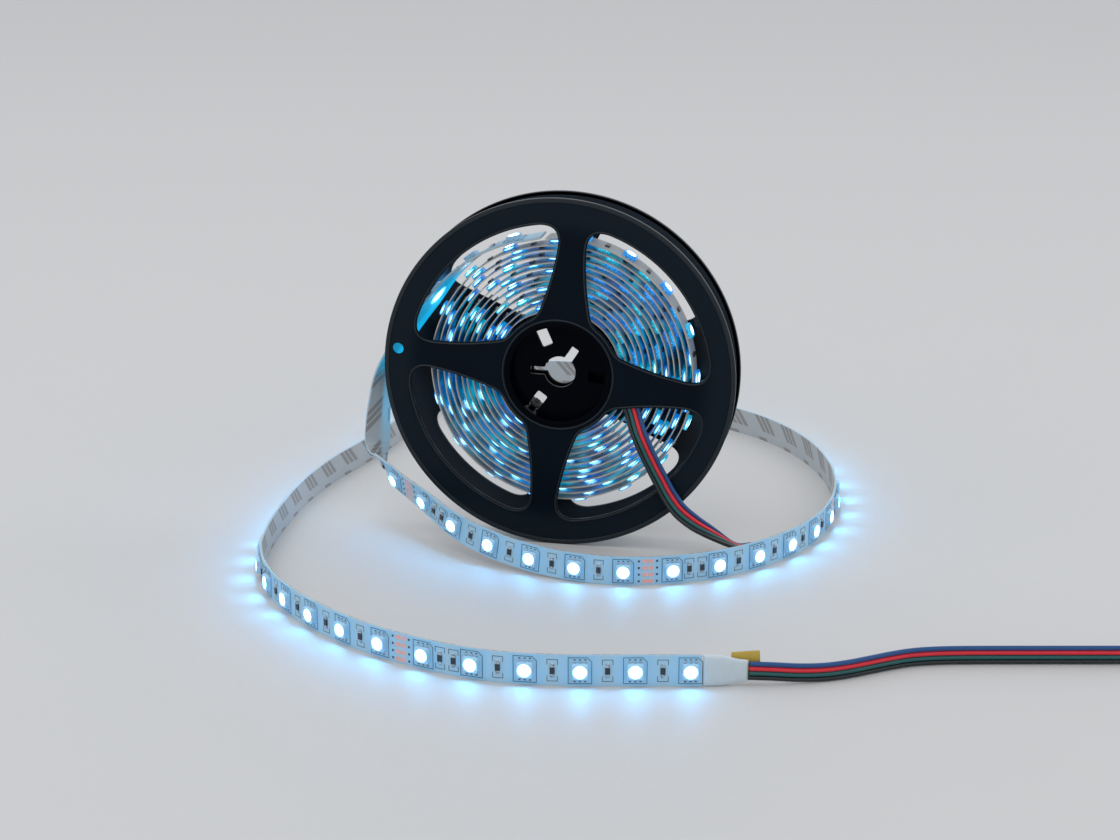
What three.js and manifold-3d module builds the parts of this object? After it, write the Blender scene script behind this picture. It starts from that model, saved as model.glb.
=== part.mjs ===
// A reel of LED strip light, partly unwound: a black moulded reel on its rims, the strip
// wound on it, its free end standing on edge in a loop on the floor, and the lead at each end.
// Millimetres, +Z up. The reel's axis is along Y, and its front face looks along -Y.
import * as THREE from "three";
import { mergeVertices } from "three/addons/utils/BufferGeometryUtils.js";
import Module from "manifold-3d";

const wasm = await Module();
wasm.setup();

// Reel
const REEL_DIAMETER = 125;
const FLANGE_THICKNESS = 1.5;
const RIM_WIDTH = 9.2; // from the reel's edge in to the windows
const RIM_LIP_WIDTH = 1.6;
const RIM_LIP_DEPTH = 0.35; // how far the rim lip and the hub ring stand proud of the face
const WINDOW_INNER_RADIUS = 21.8; // their edge round the hub
const WINDOW_CORNER = 7.5; // how far a window's outer corners are cut back
const SPOKE_WAIST = 9.6; // width of a front spoke beside the rim
const SPOKE_FLARE = 9.8; // extra width that it gains at the hub
const FIRST_SPOKE = 83.6; // degrees from +X of the upper front spoke
const REAR_SPOKE_ANGLE = 15; // degrees that a narrow rear spoke takes
const REAR_WINDOW_ANGLE = 54.5; // degrees that a rear window takes at the rim
const REAR_SIDE_OFFSET = 9.7; // from the axis to the line of a rear window's outer side
const LEAD_HOLE_DIAMETER = 4;
const HUB_RADIUS = 19; // outside of the barrel
const HUB_WALL = 2;
const HUB_FLOOR_DEPTH = 4.2; // from the outer face down to the floor of the hub
const HUB_FLOOR_THICKNESS = 1.5;
const BORE_RADIUS = 5.6;
const KEYWAY_ANGLES = [57, 179];
const KEYWAY_WIDTH = 2.9;
const KEYWAY_REACH = 10.4;
const FRONT_SNAP_ANGLES = [114, 234, 354];
const REAR_SNAP_ANGLES = [114, 234];
const FRONT_SNAP_WINDOW = { width: 4, inner: 10.2 };
const REAR_SNAP_WINDOW = { width: 8, inner: 9.5 };
const HOOK_ANGLES = [234, 354];
const HOOK_WIDTH = 2.2;
const HOOK_THICKNESS = 0.9;
const HOOK_ROOT = 4.4; // length of the hook's root on the barrel's wall
const HOOK_PROUD = 0.4; // how far a hook stands past the floor of the other half
const SEAT_GAP = 0.3; // clearance between pieces that touch

// Strip
const STRIP_WIDTH = 10;
const STRIP_THICKNESS = 0.8; // board, adhesive and liner
const SECTION_LENGTH = 500; // from one factory solder joint to the next
const LED_PITCH = 100 / 6;
const LEDS_PER_CUT = 6;
const LED_SIDE = 5;
const LED_HEIGHT = 1.6;
const RESISTOR_LENGTH = 3.2;
const RESISTOR_WIDTH = 1.6;
const RESISTOR_HEIGHT = 0.6;
const STATION_STEP = 3.5;

// Roll
const ROLL_INNER_RADIUS = 21.5;
const ROLL_OUTER_RADIUS = 48.6;
const TURN_PITCH = 2.1;
const TURN_THICKNESS = 1.15; // board with the LEDs between two turns
const ROLL_END = 96; // degrees at which the last turn ends
const ROLL_FACETS = 36;

// Leads
const WIRE_DIAMETER = 1.3;
const LANE_CLEARANCE = 0.2; // on each side of the inner lead, between the turns and the flange
const WIRE_PITCH = 1.6;
const WIRE_STEP = 4.5;
const TIP_DIAMETER = 0.8;
const TIP_LENGTH = 5;
const END_SLEEVE_COVER = 5; // length of strip inside the outer sleeve
const END_SLEEVE_THICKNESS = 2;
const END_SLEEVE_MOUTH = 7; // height at the lead's end
const TAB_REACH = 5.2; // how far the tape tab reaches back over the sleeve
const TAB_AHEAD = 3.4; // and ahead over the lead
const TAB_TOP = 10.3;
const TAB_FOOT = 2.2;
const TAB_THICKNESS = 0.4;
const INNER_SLEEVE_LENGTH = 4.5;

const rad = THREE.MathUtils.degToRad;
const reelRadius = REEL_DIAMETER / 2;
const windowRadius = reelRadius - RIM_WIDTH; // outer edge of the windows
const laneWidth = WIRE_DIAMETER + 2 * LANE_CLEARANCE; // room for the inner lead in front of the roll
const innerFace = (STRIP_WIDTH + laneWidth + SEAT_GAP) / 2;
const outerFace = innerFace + FLANGE_THICKNESS;
const reelWidth = 2 * outerFace;
const rollBack = innerFace - SEAT_GAP; // the roll lies against the rear flange
const rollFront = rollBack - STRIP_WIDTH;
const rollMiddle = (rollBack + rollFront) / 2;
const leadLane = (rollFront - innerFace) / 2; // the lead's way out in front of the turns

const blackPlastic = new THREE.MeshStandardMaterial({ color: 0x17191c, roughness: 0.42, metalness: 0 });
const stripWhite = new THREE.MeshStandardMaterial({ color: 0xdfe8ee, roughness: 0.5, metalness: 0 });
const rolledStrip = new THREE.MeshStandardMaterial({ color: 0xb9d6df, roughness: 0.45, metalness: 0 });
const sleeveWhite = new THREE.MeshStandardMaterial({ color: 0xd9e0e4, roughness: 0.55, metalness: 0 });
const amberTape = new THREE.MeshStandardMaterial({ color: 0xb39a35, roughness: 0.35, metalness: 0 });
const tinned = new THREE.MeshStandardMaterial({ color: 0xb9bbbd, roughness: 0.35, metalness: 0.9 });
const wireMaterial = {
  blue: new THREE.MeshStandardMaterial({ color: 0x123c86, roughness: 0.4, metalness: 0 }),
  red: new THREE.MeshStandardMaterial({ color: 0xb01326, roughness: 0.4, metalness: 0 }),
  green: new THREE.MeshStandardMaterial({ color: 0x0e5a55, roughness: 0.4, metalness: 0 }),
  black: new THREE.MeshStandardMaterial({ color: 0x101214, roughness: 0.4, metalness: 0 }),
};
const WIRES = ["black", "green", "red", "blue"];

// Solids and geometries

function solidOf(geometry) {
  const bare = geometry.index ? geometry.toNonIndexed() : geometry.clone();
  bare.deleteAttribute("normal");
  bare.deleteAttribute("uv");
  const merged = mergeVertices(bare, 1e-4);
  return new wasm.Manifold(
    new wasm.Mesh({
      numProp: 3,
      vertProperties: merged.attributes.position.array,
      triVerts: new Uint32Array(merged.index.array),
    }),
  );
}

function geometryOf(solid) {
  const mesh = solid.getMesh();
  const geometry = new THREE.BufferGeometry();
  geometry.setAttribute("position", new THREE.BufferAttribute(mesh.vertProperties, 3));
  geometry.setIndex(new THREE.BufferAttribute(mesh.triVerts, 1));
  geometry.computeVertexNormals();
  return geometry;
}

// A flat outline in the reel's plane, given thickness from backY towards the front.
function plate(shape, thickness, backY) {
  const options = { depth: thickness, bevelEnabled: false, curveSegments: 6 };
  const geometry = new THREE.ExtrudeGeometry(shape, options);
  return geometry.rotateX(Math.PI / 2).translate(0, backY, 0);
}

// A ring about the reel's axis between two radii and two places along Y.
function ring(innerRadius, outerRadius, frontY, backY, facets = 72) {
  const profile = [
    new THREE.Vector2(innerRadius, frontY),
    new THREE.Vector2(outerRadius, frontY),
    new THREE.Vector2(outerRadius, backY),
    new THREE.Vector2(innerRadius, backY),
    new THREE.Vector2(innerRadius, frontY),
  ];
  return new THREE.LatheGeometry(profile, facets);
}

// A block that runs along a radius of the reel: radial from, to, its width, and its span along Y.
function radialBlock(angle, from, to, width, frontY, backY) {
  const block = new THREE.BoxGeometry(to - from, backY - frontY, width);
  block.translate((from + to) / 2, (frontY + backY) / 2, 0);
  return block.rotateY(-rad(angle));
}

// Reel

const polar = (radius, angle) => [radius * Math.cos(angle), radius * Math.sin(angle)];

// Half the width of a front spoke at a distance from the axis: a waist at the rim, flared to the hub.
function spokeHalfWidth(radius) {
  const inward = (windowRadius - radius) / (windowRadius - WINDOW_INNER_RADIUS);
  return (SPOKE_WAIST + SPOKE_FLARE * Math.max(inward, 0) ** 2.3) / 2;
}

// A window between two sides, each side an angle that depends on the distance from the axis.
function windowPath(startAngle, endAngle) {
  const outer = windowRadius;
  const corner = WINDOW_CORNER;
  const cornerTurn = corner / outer;
  const inner = WINDOW_INNER_RADIUS;
  const sideRadii = [outer - corner, 42, 35, 28.5, inner + 2.2];
  const path = new THREE.Path();
  path.moveTo(...polar(outer - corner, startAngle(outer - corner)));
  path.quadraticCurveTo(
    ...polar(outer, startAngle(outer)),
    ...polar(outer, startAngle(outer) + cornerTurn),
  );
  const arcSteps = 12;
  const arcStart = startAngle(outer) + cornerTurn;
  const arcEnd = endAngle(outer) - cornerTurn;
  for (let i = 1; i <= arcSteps; i++) {
    path.lineTo(...polar(outer, arcStart + ((arcEnd - arcStart) * i) / arcSteps));
  }
  path.quadraticCurveTo(
    ...polar(outer, endAngle(outer)),
    ...polar(outer - corner, endAngle(outer - corner)),
  );
  for (const radius of sideRadii.slice(1)) path.lineTo(...polar(radius, endAngle(radius)));
  const middle = (startAngle(inner) + endAngle(inner)) / 2;
  path.quadraticCurveTo(...polar(inner, endAngle(inner)), ...polar(inner, (endAngle(inner) + middle) / 2));
  path.lineTo(...polar(inner, middle));
  path.lineTo(...polar(inner, (startAngle(inner) + middle) / 2));
  path.quadraticCurveTo(
    ...polar(inner, startAngle(inner)),
    ...polar(sideRadii[4], startAngle(sideRadii[4])),
  );
  for (const radius of sideRadii.slice(1, 4).reverse()) path.lineTo(...polar(radius, startAngle(radius)));
  path.closePath();
  return path;
}

function disc(windows) {
  const shape = new THREE.Shape();
  const facets = 96;
  for (let i = 0; i < facets; i++) {
    const point = polar(reelRadius, (2 * Math.PI * i) / facets);
    if (i === 0) shape.moveTo(...point);
    else shape.lineTo(...point);
  }
  shape.closePath();
  shape.holes.push(...windows);
  return shape;
}

function frontWindows() {
  const half = (radius) => Math.asin(spokeHalfWidth(radius) / radius);
  return [0, 1, 2, 3].map((i) => {
    const spoke = rad(FIRST_SPOKE + 90 * i);
    return windowPath(
      (radius) => spoke + half(radius),
      (radius) => spoke + Math.PI / 2 - half(radius),
    );
  });
}

function rearWindows() {
  return [0, 1, 2, 3].map((i) => {
    const spoke = rad(FIRST_SPOKE + 180 * Math.floor(i / 2));
    const side = i % 2 ? -1 : 1;
    const near = spoke + (side * rad(REAR_SPOKE_ANGLE)) / 2;
    const turn = (radius) => Math.asin(REAR_SIDE_OFFSET / radius);
    const far = (radius) => near + side * (rad(REAR_WINDOW_ANGLE) + turn(windowRadius) - turn(radius));
    return side > 0 ? windowPath(() => near, far) : windowPath(far, () => near);
  });
}

// One half of the reel, made as a front half: plate, rim lip, half of the barrel and the hub floor.
function reelHalf(windows, snapWindow, snapAngles, hookAngles) {
  const hubInner = HUB_RADIUS - HUB_WALL;
  const floorFront = -outerFace + HUB_FLOOR_DEPTH;
  const floorBack = floorFront + HUB_FLOOR_THICKNESS;
  let half = solidOf(plate(disc(windows), FLANGE_THICKNESS - RIM_LIP_DEPTH, -innerFace));
  half = half.add(solidOf(ring(reelRadius - RIM_LIP_WIDTH, reelRadius, -outerFace, -innerFace, 96)));
  half = half.add(solidOf(ring(hubInner, HUB_RADIUS, -outerFace, -SEAT_GAP / 2)));
  const well = new THREE.CylinderGeometry(hubInner, hubInner, 2 * reelWidth, 72);
  half = half.subtract(solidOf(well));
  const floorDisc = new THREE.CylinderGeometry(hubInner + 0.5, hubInner + 0.5, floorBack - floorFront, 72);
  let floorPlate = solidOf(floorDisc.translate(0, (floorFront + floorBack) / 2, 0));
  const bore = new THREE.CylinderGeometry(BORE_RADIUS, BORE_RADIUS, 2 * reelWidth, 36);
  floorPlate = floorPlate.subtract(solidOf(bore));
  for (const angle of KEYWAY_ANGLES) {
    floorPlate = floorPlate.subtract(
      solidOf(radialBlock(angle, 1, KEYWAY_REACH, KEYWAY_WIDTH, -outerFace, outerFace)),
    );
  }
  const { width, inner } = snapWindow;
  for (const angle of snapAngles) {
    floorPlate = floorPlate.subtract(
      solidOf(radialBlock(angle, inner, hubInner, width, -outerFace, outerFace)),
    );
  }
  half = half.add(floorPlate);
  // A hook is a tongue on a root that joins it to the barrel's wall.
  const hookOuter = hubInner - SEAT_GAP;
  const hookInner = hookOuter - HOOK_THICKNESS;
  const rootEnd = -2 * SEAT_GAP;
  const hookTip = HOOK_PROUD - floorFront;
  for (const angle of hookAngles) {
    const rootStart = rootEnd - HOOK_ROOT;
    const inWall = hubInner + HUB_WALL / 4;
    const root = radialBlock(angle, hookInner, inWall, HOOK_WIDTH, rootStart, rootEnd);
    const tongue = radialBlock(angle, hookInner, hookOuter, HOOK_WIDTH, rootStart, hookTip);
    half = half.add(solidOf(root)).add(solidOf(tongue));
  }
  const hole = new THREE.CylinderGeometry(LEAD_HOLE_DIAMETER / 2, LEAD_HOLE_DIAMETER / 2, reelWidth, 20);
  const [holeX, holeZ] = polar(reelRadius - RIM_WIDTH / 2, rad(FIRST_SPOKE + 90));
  return half.subtract(solidOf(hole.translate(holeX, -outerFace, holeZ)));
}

const frontHalf = reelHalf(frontWindows(), FRONT_SNAP_WINDOW, FRONT_SNAP_ANGLES, []);
const frontFlange = geometryOf(frontHalf).translate(0, 0, reelRadius);
const rearHalf = reelHalf(rearWindows(), REAR_SNAP_WINDOW, REAR_SNAP_ANGLES, HOOK_ANGLES);
// The rear half is the same kind of moulding turned to face backwards: mirrored in Y.
const rearFlange = geometryOf(rearHalf.mirror([0, 1, 0])).translate(0, 0, reelRadius);

// Strip: a band swept along stations that each hold a centre and two directions

function sweepBand(stations, width, thickness) {
  const corners = [];
  for (const { centre, across, out } of stations) {
    for (const [side, face] of [[1, 1], [-1, 1], [-1, -1], [1, -1]]) {
      corners.push(
        centre
          .clone()
          .addScaledVector(across, (side * width) / 2)
          .addScaledVector(out, (face * thickness) / 2),
      );
    }
  }
  const index = [0, 1, 2, 0, 2, 3];
  for (let i = 0; i + 1 < stations.length; i++) {
    for (let k = 0; k < 4; k++) {
      const a = 4 * i + k;
      const b = 4 * i + ((k + 1) % 4);
      index.push(a, a + 4, b + 4, a, b + 4, b);
    }
  }
  const last = 4 * (stations.length - 1);
  index.push(last, last + 2, last + 1, last, last + 3, last + 2);
  const geometry = new THREE.BufferGeometry().setFromPoints(corners);
  geometry.setIndex(index);
  return geometry;
}

// The strip's free run, from the end of the roll to the lead, at the middle of its width.
// Each point is x, y, z from the floor under the reel's centre, then the direction across the
// strip, from the edge that stands up on the floor run to the edge that rests on it.
const exitY = rollMiddle;
const edgeOn = [0, 1, 0];
const upright = [0, 0, -1];
const FLOOR_Z = STRIP_WIDTH / 2;

// A point of the loose turn: its distance outside the roll and its angle about the reel's axis.
function offRoll(outward, degrees) {
  const [x, z] = polar(ROLL_OUTER_RADIUS + outward, rad(degrees));
  return [x, exitY, reelRadius + z];
}

// A point where the strip hangs beside the reel: its distance past the rim and towards the back.
function besideRim(outward, back, height) {
  return [-reelRadius - outward, exitY + back, height];
}

const RUN = [
  [...offRoll(-0.35, 97.9), edgeOn],
  [...offRoll(0.6, 118), edgeOn],
  [...offRoll(1.6, 137.3), [0.13, 0.98, -0.12]],
  [...offRoll(3.2, 155), [0.34, 0.93, -0.16]],
  [...offRoll(7.7, 168.4), [0.45, 0.89, -0.09]],
  [...offRoll(13.1, 178.2), [0.47, 0.88, -0.02]],
  [...besideRim(2.8, 0.1, 56.5), [0.48, 0.88, -0.03]],
  [...besideRim(4.6, 0.5, 47.7), [0.53, 0.84, -0.12]],
  [...besideRim(5.7, 1.1, 39.0), [0.65, 0.73, -0.23]],
  [...besideRim(6.1, 1.3, 31.2), [0.69, 0.63, -0.36]],
  [...besideRim(5.3, -0.3, 26.4), [0.41, 0.72, -0.56]],
  [...besideRim(2.8, -2.9, 23.9), [-0.05, 0.76, -0.65]],
  [...besideRim(-2.1, -6.8, 20.8), [-0.22, 0.55, -0.81]],
  [...besideRim(-8.3, -11.7, 18.6), [-0.06, 0.44, -0.9]],
  [-47.4, -15.7, 16.4, [-0.05, 0.33, -0.94]],
  [-34.4, -25.0, 11.7, [-0.01, 0.09, -1]],
  [-19.8, -32.2, 8.0, upright],
  [-4.1, -37.9, 6.0, upright],
  [12.6, -41.9, 5.2, upright],
  [30.0, -42.0, FLOOR_Z, upright],
  [46.4, -37.1, FLOOR_Z, upright],
  [61.0, -28.6, FLOOR_Z, upright],
  [74.0, -15.6, FLOOR_Z, upright],
  [84.5, 0.4, FLOOR_Z, upright],
  [91.3, 19.4, FLOOR_Z, upright],
  [94.0, 41.0, FLOOR_Z, upright],
  [92.6, 60.0, FLOOR_Z, upright],
  [88.8, 77.5, FLOOR_Z, upright],
  [81.6, 96.8, FLOOR_Z, upright],
  [71.0, 115.0, FLOOR_Z, upright],
  [56.6, 131.4, FLOOR_Z, upright],
  [38.5, 144.7, FLOOR_Z, upright],
  [20.5, 156.6, FLOOR_Z, upright],
  [5.0, 172.2, FLOOR_Z, upright],
  [-12.5, 187.8, FLOOR_Z, upright],
  [-34.6, 196.9, FLOOR_Z, upright],
  [-57.1, 192.6, FLOOR_Z, upright],
  [-74.1, 175.9, FLOOR_Z, upright],
  [-83.1, 152.3, FLOOR_Z, upright],
  [-86.1, 126.5, FLOOR_Z, upright],
  [-88.0, 103.0, FLOOR_Z, upright],
  [-90.3, 84.0, FLOOR_Z, upright],
  [-94.0, 66.0, FLOOR_Z, upright],
  [-99.0, 42.0, FLOOR_Z, upright],
  [-101.4, 16.0, FLOOR_Z, upright],
  [-100.8, -10.0, FLOOR_Z, upright],
  [-98.4, -34.0, FLOOR_Z, upright],
  [-93.4, -57.0, FLOOR_Z, upright],
  [-84.4, -75.0, FLOOR_Z, upright],
  [-71.6, -90.6, FLOOR_Z, upright],
  [-55.0, -104.8, FLOOR_Z, upright],
  [-35.8, -116.6, FLOOR_Z, upright],
  [-15.0, -124.8, FLOOR_Z, upright],
  [4.0, -128.6, FLOOR_Z, upright],
  [24.0, -127.8, FLOOR_Z, upright],
  [48.0, -123.2, FLOOR_Z, upright],
  [72.6, -118.2, FLOOR_Z, upright],
];

const runPoints = RUN.map(([x, y, z]) => new THREE.Vector3(x, y, z));
const runCurve = new THREE.CatmullRomCurve3(runPoints, false, "centripetal");
runCurve.arcLengthDivisions = 1200;
const runLength = runCurve.getLength();

// The station at a distance from the lead's end of the strip.
function stationAt(distance) {
  const share = Math.min(Math.max(1 - distance / runLength, 0), 1);
  const knot = runCurve.getUtoTmapping(share) * (RUN.length - 1);
  const before = Math.min(Math.floor(knot), RUN.length - 2);
  const across = new THREE.Vector3(...RUN[before][3]).lerp(
    new THREE.Vector3(...RUN[before + 1][3]),
    knot - before,
  );
  const along = runCurve.getTangentAt(share);
  across.addScaledVector(along, -across.dot(along)).normalize();
  const out = new THREE.Vector3().crossVectors(across, along);
  return { centre: runCurve.getPointAt(share), along, across, out };
}

// A component on the lit face of the strip at a distance from the lead's end.
function component(distance, lengthAlong, widthAcross, height) {
  const { centre, along, across, out } = stationAt(distance);
  const sunk = STRIP_THICKNESS * 0.45;
  const block = new THREE.BoxGeometry(lengthAlong, widthAcross, height + sunk);
  block.applyMatrix4(new THREE.Matrix4().makeBasis(along, across.clone().negate(), out));
  const lift = STRIP_THICKNESS / 2 + (height - sunk) / 2;
  return block.translate(...centre.clone().addScaledVector(out, lift).toArray());
}

// One soldered length of strip between two distances from the lead's end.
function stripSection(from, to) {
  const stations = [];
  const steps = Math.round((to - from) / STATION_STEP);
  for (let i = 0; i <= steps; i++) stations.push(stationAt(to + ((from - to) * i) / steps));
  let section = solidOf(sweepBand(stations, STRIP_WIDTH, STRIP_THICKNESS));
  const parts = [];
  const firstLed = Math.ceil((from - LED_PITCH / 2) / LED_PITCH);
  for (let i = Math.max(firstLed, 0); LED_PITCH * (i + 0.5) + LED_SIDE / 2 < to; i++) {
    const place = LED_PITCH * (i + 0.5);
    if (place - LED_SIDE / 2 > from) parts.push(component(place, LED_SIDE, LED_SIDE, LED_HEIGHT));
    const inCut = i % LEDS_PER_CUT;
    const shares = inCut === LEDS_PER_CUT - 1 ? [] : inCut === LEDS_PER_CUT - 2 ? [0.36, 0.64] : [0.5];
    for (const share of shares) {
      const spot = place + LED_PITCH * share;
      if (spot + RESISTOR_WIDTH < to) {
        parts.push(component(spot, RESISTOR_WIDTH, RESISTOR_LENGTH, RESISTOR_HEIGHT));
      }
    }
  }
  for (const part of parts) section = section.add(solidOf(part));
  return geometryOf(section);
}

// Roll: one band wound in a spiral, its radius growing one pitch a turn

function woundStrip() {
  const turns = (ROLL_OUTER_RADIUS - TURN_THICKNESS - ROLL_INNER_RADIUS) / TURN_PITCH;
  const endAngle = rad(ROLL_END);
  const startAngle = endAngle - turns * 2 * Math.PI;
  const steps = Math.round(turns * ROLL_FACETS);
  const radiusAt = (angle) => ROLL_INNER_RADIUS + (TURN_PITCH * (angle - startAngle)) / (2 * Math.PI);
  const shape = new THREE.Shape();
  const sweep = endAngle - startAngle;
  const angles = Array.from({ length: steps + 1 }, (_, i) => startAngle + (sweep * i) / steps);
  angles.forEach((angle, i) => {
    const point = polar(radiusAt(angle) + TURN_THICKNESS, angle);
    if (i === 0) shape.moveTo(...point);
    else shape.lineTo(...point);
  });
  for (const angle of angles.reverse()) shape.lineTo(...polar(radiusAt(angle), angle));
  let roll = solidOf(plate(shape, STRIP_WIDTH, rollBack));
  const rim = ROLL_OUTER_RADIUS;
  const turnAngle = LED_PITCH / rim;
  for (let i = 1; i * turnAngle < 1.8 * Math.PI; i++) {
    const angle = endAngle - i * turnAngle;
    const from = radiusAt(angle) + TURN_THICKNESS - 0.3;
    const middle = (rollFront + rollBack) / 2;
    roll = roll.add(
      solidOf(
        radialBlock(
          THREE.MathUtils.radToDeg(angle),
          from,
          from + 0.2 + LED_HEIGHT / 2,
          LED_SIDE,
          middle - LED_SIDE / 2,
          middle + LED_SIDE / 2,
        ),
      ),
    );
  }
  return geometryOf(roll).translate(0, 0, reelRadius);
}

// Leads: a route for the middle of the flat lead, and the direction from its black to its blue wire

const LEAD_Z = 3.1; // the lead stands on its black wire
const standing = [0, 0, 1];
const OUTER_ROUTE = [
  [81.6, -115.9, 4.7, standing],
  [88.5, -113.9, 4.2, standing],
  [96.0, -111.6, 3.5, standing],
  [103.6, -108.6, LEAD_Z, standing],
  [110.4, -104.9, LEAD_Z, standing],
  [116.6, -100.4, LEAD_Z, standing],
  [122.6, -95.9, LEAD_Z, standing],
  [128.8, -92.0, LEAD_Z, standing],
  [135.8, -89.2, LEAD_Z, standing],
  [144.0, -87.0, LEAD_Z, standing],
  [154.0, -84.8, LEAD_Z, standing],
  [166.0, -82.3, LEAD_Z, standing],
  [179.0, -79.6, LEAD_Z, standing],
  [192.0, -76.9, LEAD_Z, standing],
  [205.0, -74.2, LEAD_Z, standing],
  [218.0, -71.5, LEAD_Z, standing],
  [231.0, -68.8, LEAD_Z, standing],
];
const INNER_ROUTE = [
  [24.0, leadLane, 57.8, [0.96, 0, 0.26]],
  [25.1, leadLane, 53.5, [0.95, 0, 0.31]],
  [26.7, -5.7, 49.2, [0.92, 0, 0.38]],
  [28.4, -7.4, 44.7, [0.91, 0, 0.42]],
  [30.4, -8.6, 40.3, [0.91, 0, 0.42]],
  [32.6, -8.9, 35.8, [0.9, 0, 0.44]],
  [34.8, -8.9, 31.4, [0.89, 0, 0.46]],
  [37.2, -9.1, 27.0, [0.86, 0.05, 0.5]],
  [40.2, -9.6, 21.8, [0.82, 0.15, 0.55]],
  [44.2, -10.5, 16.8, [0.68, 0.35, 0.62]],
  [49.4, -11.0, 12.9, [0.48, 0.62, 0.6]],
  [53.4, -10.5, 10.4, [0.25, 0.82, 0.5]],
  [56.8, -8.7, 7.9, [0.0, 0.9, 0.35]],
  [60.0, -6.0, 5.1, [-0.25, 0.93, 0.2]],
  [62.8, -3.4, 2.7, [-0.45, 0.87, 0.08]],
  [65.6, -1.0, 1.2, [-0.6, 0.8, 0.02]],
  [69.4, 1.8, 0.95, [-0.6, 0.8, 0]],
];

// The middle line of one wire of a flat lead, and the direction in which it ends.
function wireCurve(route, offset) {
  const middle = new THREE.CatmullRomCurve3(route.map(([x, y, z]) => new THREE.Vector3(x, y, z)));
  const samples = Math.ceil(middle.getLength() / WIRE_STEP);
  const points = [];
  for (let i = 0; i <= samples; i++) {
    const knot = middle.getUtoTmapping(i / samples) * (route.length - 1);
    const before = Math.min(Math.floor(knot), route.length - 2);
    const across = new THREE.Vector3(...route[before][3]).lerp(
      new THREE.Vector3(...route[before + 1][3]),
      knot - before,
    );
    const along = middle.getTangentAt(i / samples);
    across.addScaledVector(along, -across.dot(along)).normalize();
    points.push(middle.getPointAt(i / samples).addScaledVector(across, offset));
  }
  return new THREE.CatmullRomCurve3(points);
}

function wire(curve) {
  const section = new THREE.Shape();
  const facets = 8;
  for (let i = 0; i < facets; i++) {
    const point = polar(WIRE_DIAMETER / 2, (2 * Math.PI * (i + 0.5)) / facets);
    if (i === 0) section.moveTo(...point);
    else section.lineTo(...point);
  }
  section.closePath();
  const steps = Math.round(curve.getLength() / WIRE_STEP);
  return new THREE.ExtrudeGeometry(section, { steps, extrudePath: curve, bevelEnabled: false });
}

// The bared and tinned end of a wire, in line with it.
function wireTip(curve) {
  const direction = curve.getTangentAt(1);
  const tip = new THREE.CylinderGeometry(TIP_DIAMETER / 2, TIP_DIAMETER / 2, TIP_LENGTH, 10);
  tip.applyQuaternion(new THREE.Quaternion().setFromUnitVectors(new THREE.Vector3(0, 1, 0), direction));
  const middle = curve.getPointAt(1).addScaledVector(direction, SEAT_GAP + TIP_LENGTH / 2);
  return tip.translate(middle.x, middle.y, middle.z);
}

// Sleeves over the solder joints where the leads meet the strip

// The outer sleeve starts at the strip's visible end and narrows to the lead.
function endSleeve() {
  const leadStart = new THREE.Vector3(...OUTER_ROUTE[0].slice(0, 3));
  const leadAhead = new THREE.Vector3(...OUTER_ROUTE[1].slice(0, 3));
  const along = leadAhead.sub(leadStart).normalize();
  const start = stationAt(END_SLEEVE_COVER - SEAT_GAP);
  const shoulder = stationAt(0);
  const mouth = leadStart.clone().addScaledVector(along, -SEAT_GAP);
  const up = new THREE.Vector3(0, 0, -1);
  const stations = [
    { centre: start.centre, across: start.across, out: start.out },
    { centre: shoulder.centre, across: start.across, out: start.out },
    { centre: mouth, across: up, out: new THREE.Vector3().crossVectors(up, along) },
  ];
  const body = sweepBand(stations, STRIP_WIDTH, END_SLEEVE_THICKNESS);
  // The mouth end is drawn in to the lead's height.
  const position = body.attributes.position;
  const mouthShare = END_SLEEVE_MOUTH / STRIP_WIDTH;
  for (let i = position.count - 4; i < position.count; i++) {
    position.setZ(i, mouth.z + (position.getZ(i) - mouth.z) * mouthShare);
  }
  return body;
}

// A tab of amber tape behind the outer sleeve, showing above the start of the lead.
function tapeTab() {
  const [x, y] = OUTER_ROUTE[0];
  const shape = new THREE.Shape();
  shape.moveTo(-TAB_REACH, TAB_TOP);
  shape.lineTo(TAB_AHEAD, TAB_TOP + 0.3);
  shape.lineTo(TAB_AHEAD + 0.5, TAB_FOOT);
  shape.lineTo(-TAB_REACH, TAB_FOOT);
  shape.closePath();
  const tab = plate(shape, TAB_THICKNESS, 0);
  const behind = END_SLEEVE_THICKNESS / 2 + SEAT_GAP + TAB_THICKNESS;
  const turn = Math.atan2(OUTER_ROUTE[1][1] - y, OUTER_ROUTE[1][0] - x);
  tab.translate(0, behind, 0).rotateZ(turn);
  return tab.translate(x, y, 0);
}

// The inner sleeve lies against the turns' edges under the right front spoke.
function innerSleeve() {
  const start = new THREE.Vector3(...INNER_ROUTE[0].slice(0, 3));
  const next = new THREE.Vector3(...INNER_ROUTE[1].slice(0, 3));
  const along = next.sub(start).normalize();
  const sleeve = new THREE.BoxGeometry(WIRE_PITCH * WIRES.length, WIRE_DIAMETER, INNER_SLEEVE_LENGTH);
  sleeve.rotateY(Math.atan2(along.x, along.z));
  start.addScaledVector(along, -SEAT_GAP - INNER_SLEEVE_LENGTH / 2);
  return sleeve.translate(start.x, start.y, start.z);
}

// Assembly

const reelAndStrip = new THREE.Group();
const leads = new THREE.Group();

function place(group, name, geometry, material) {
  const mesh = new THREE.Mesh(geometry, material);
  mesh.name = name;
  group.add(mesh);
}

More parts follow.
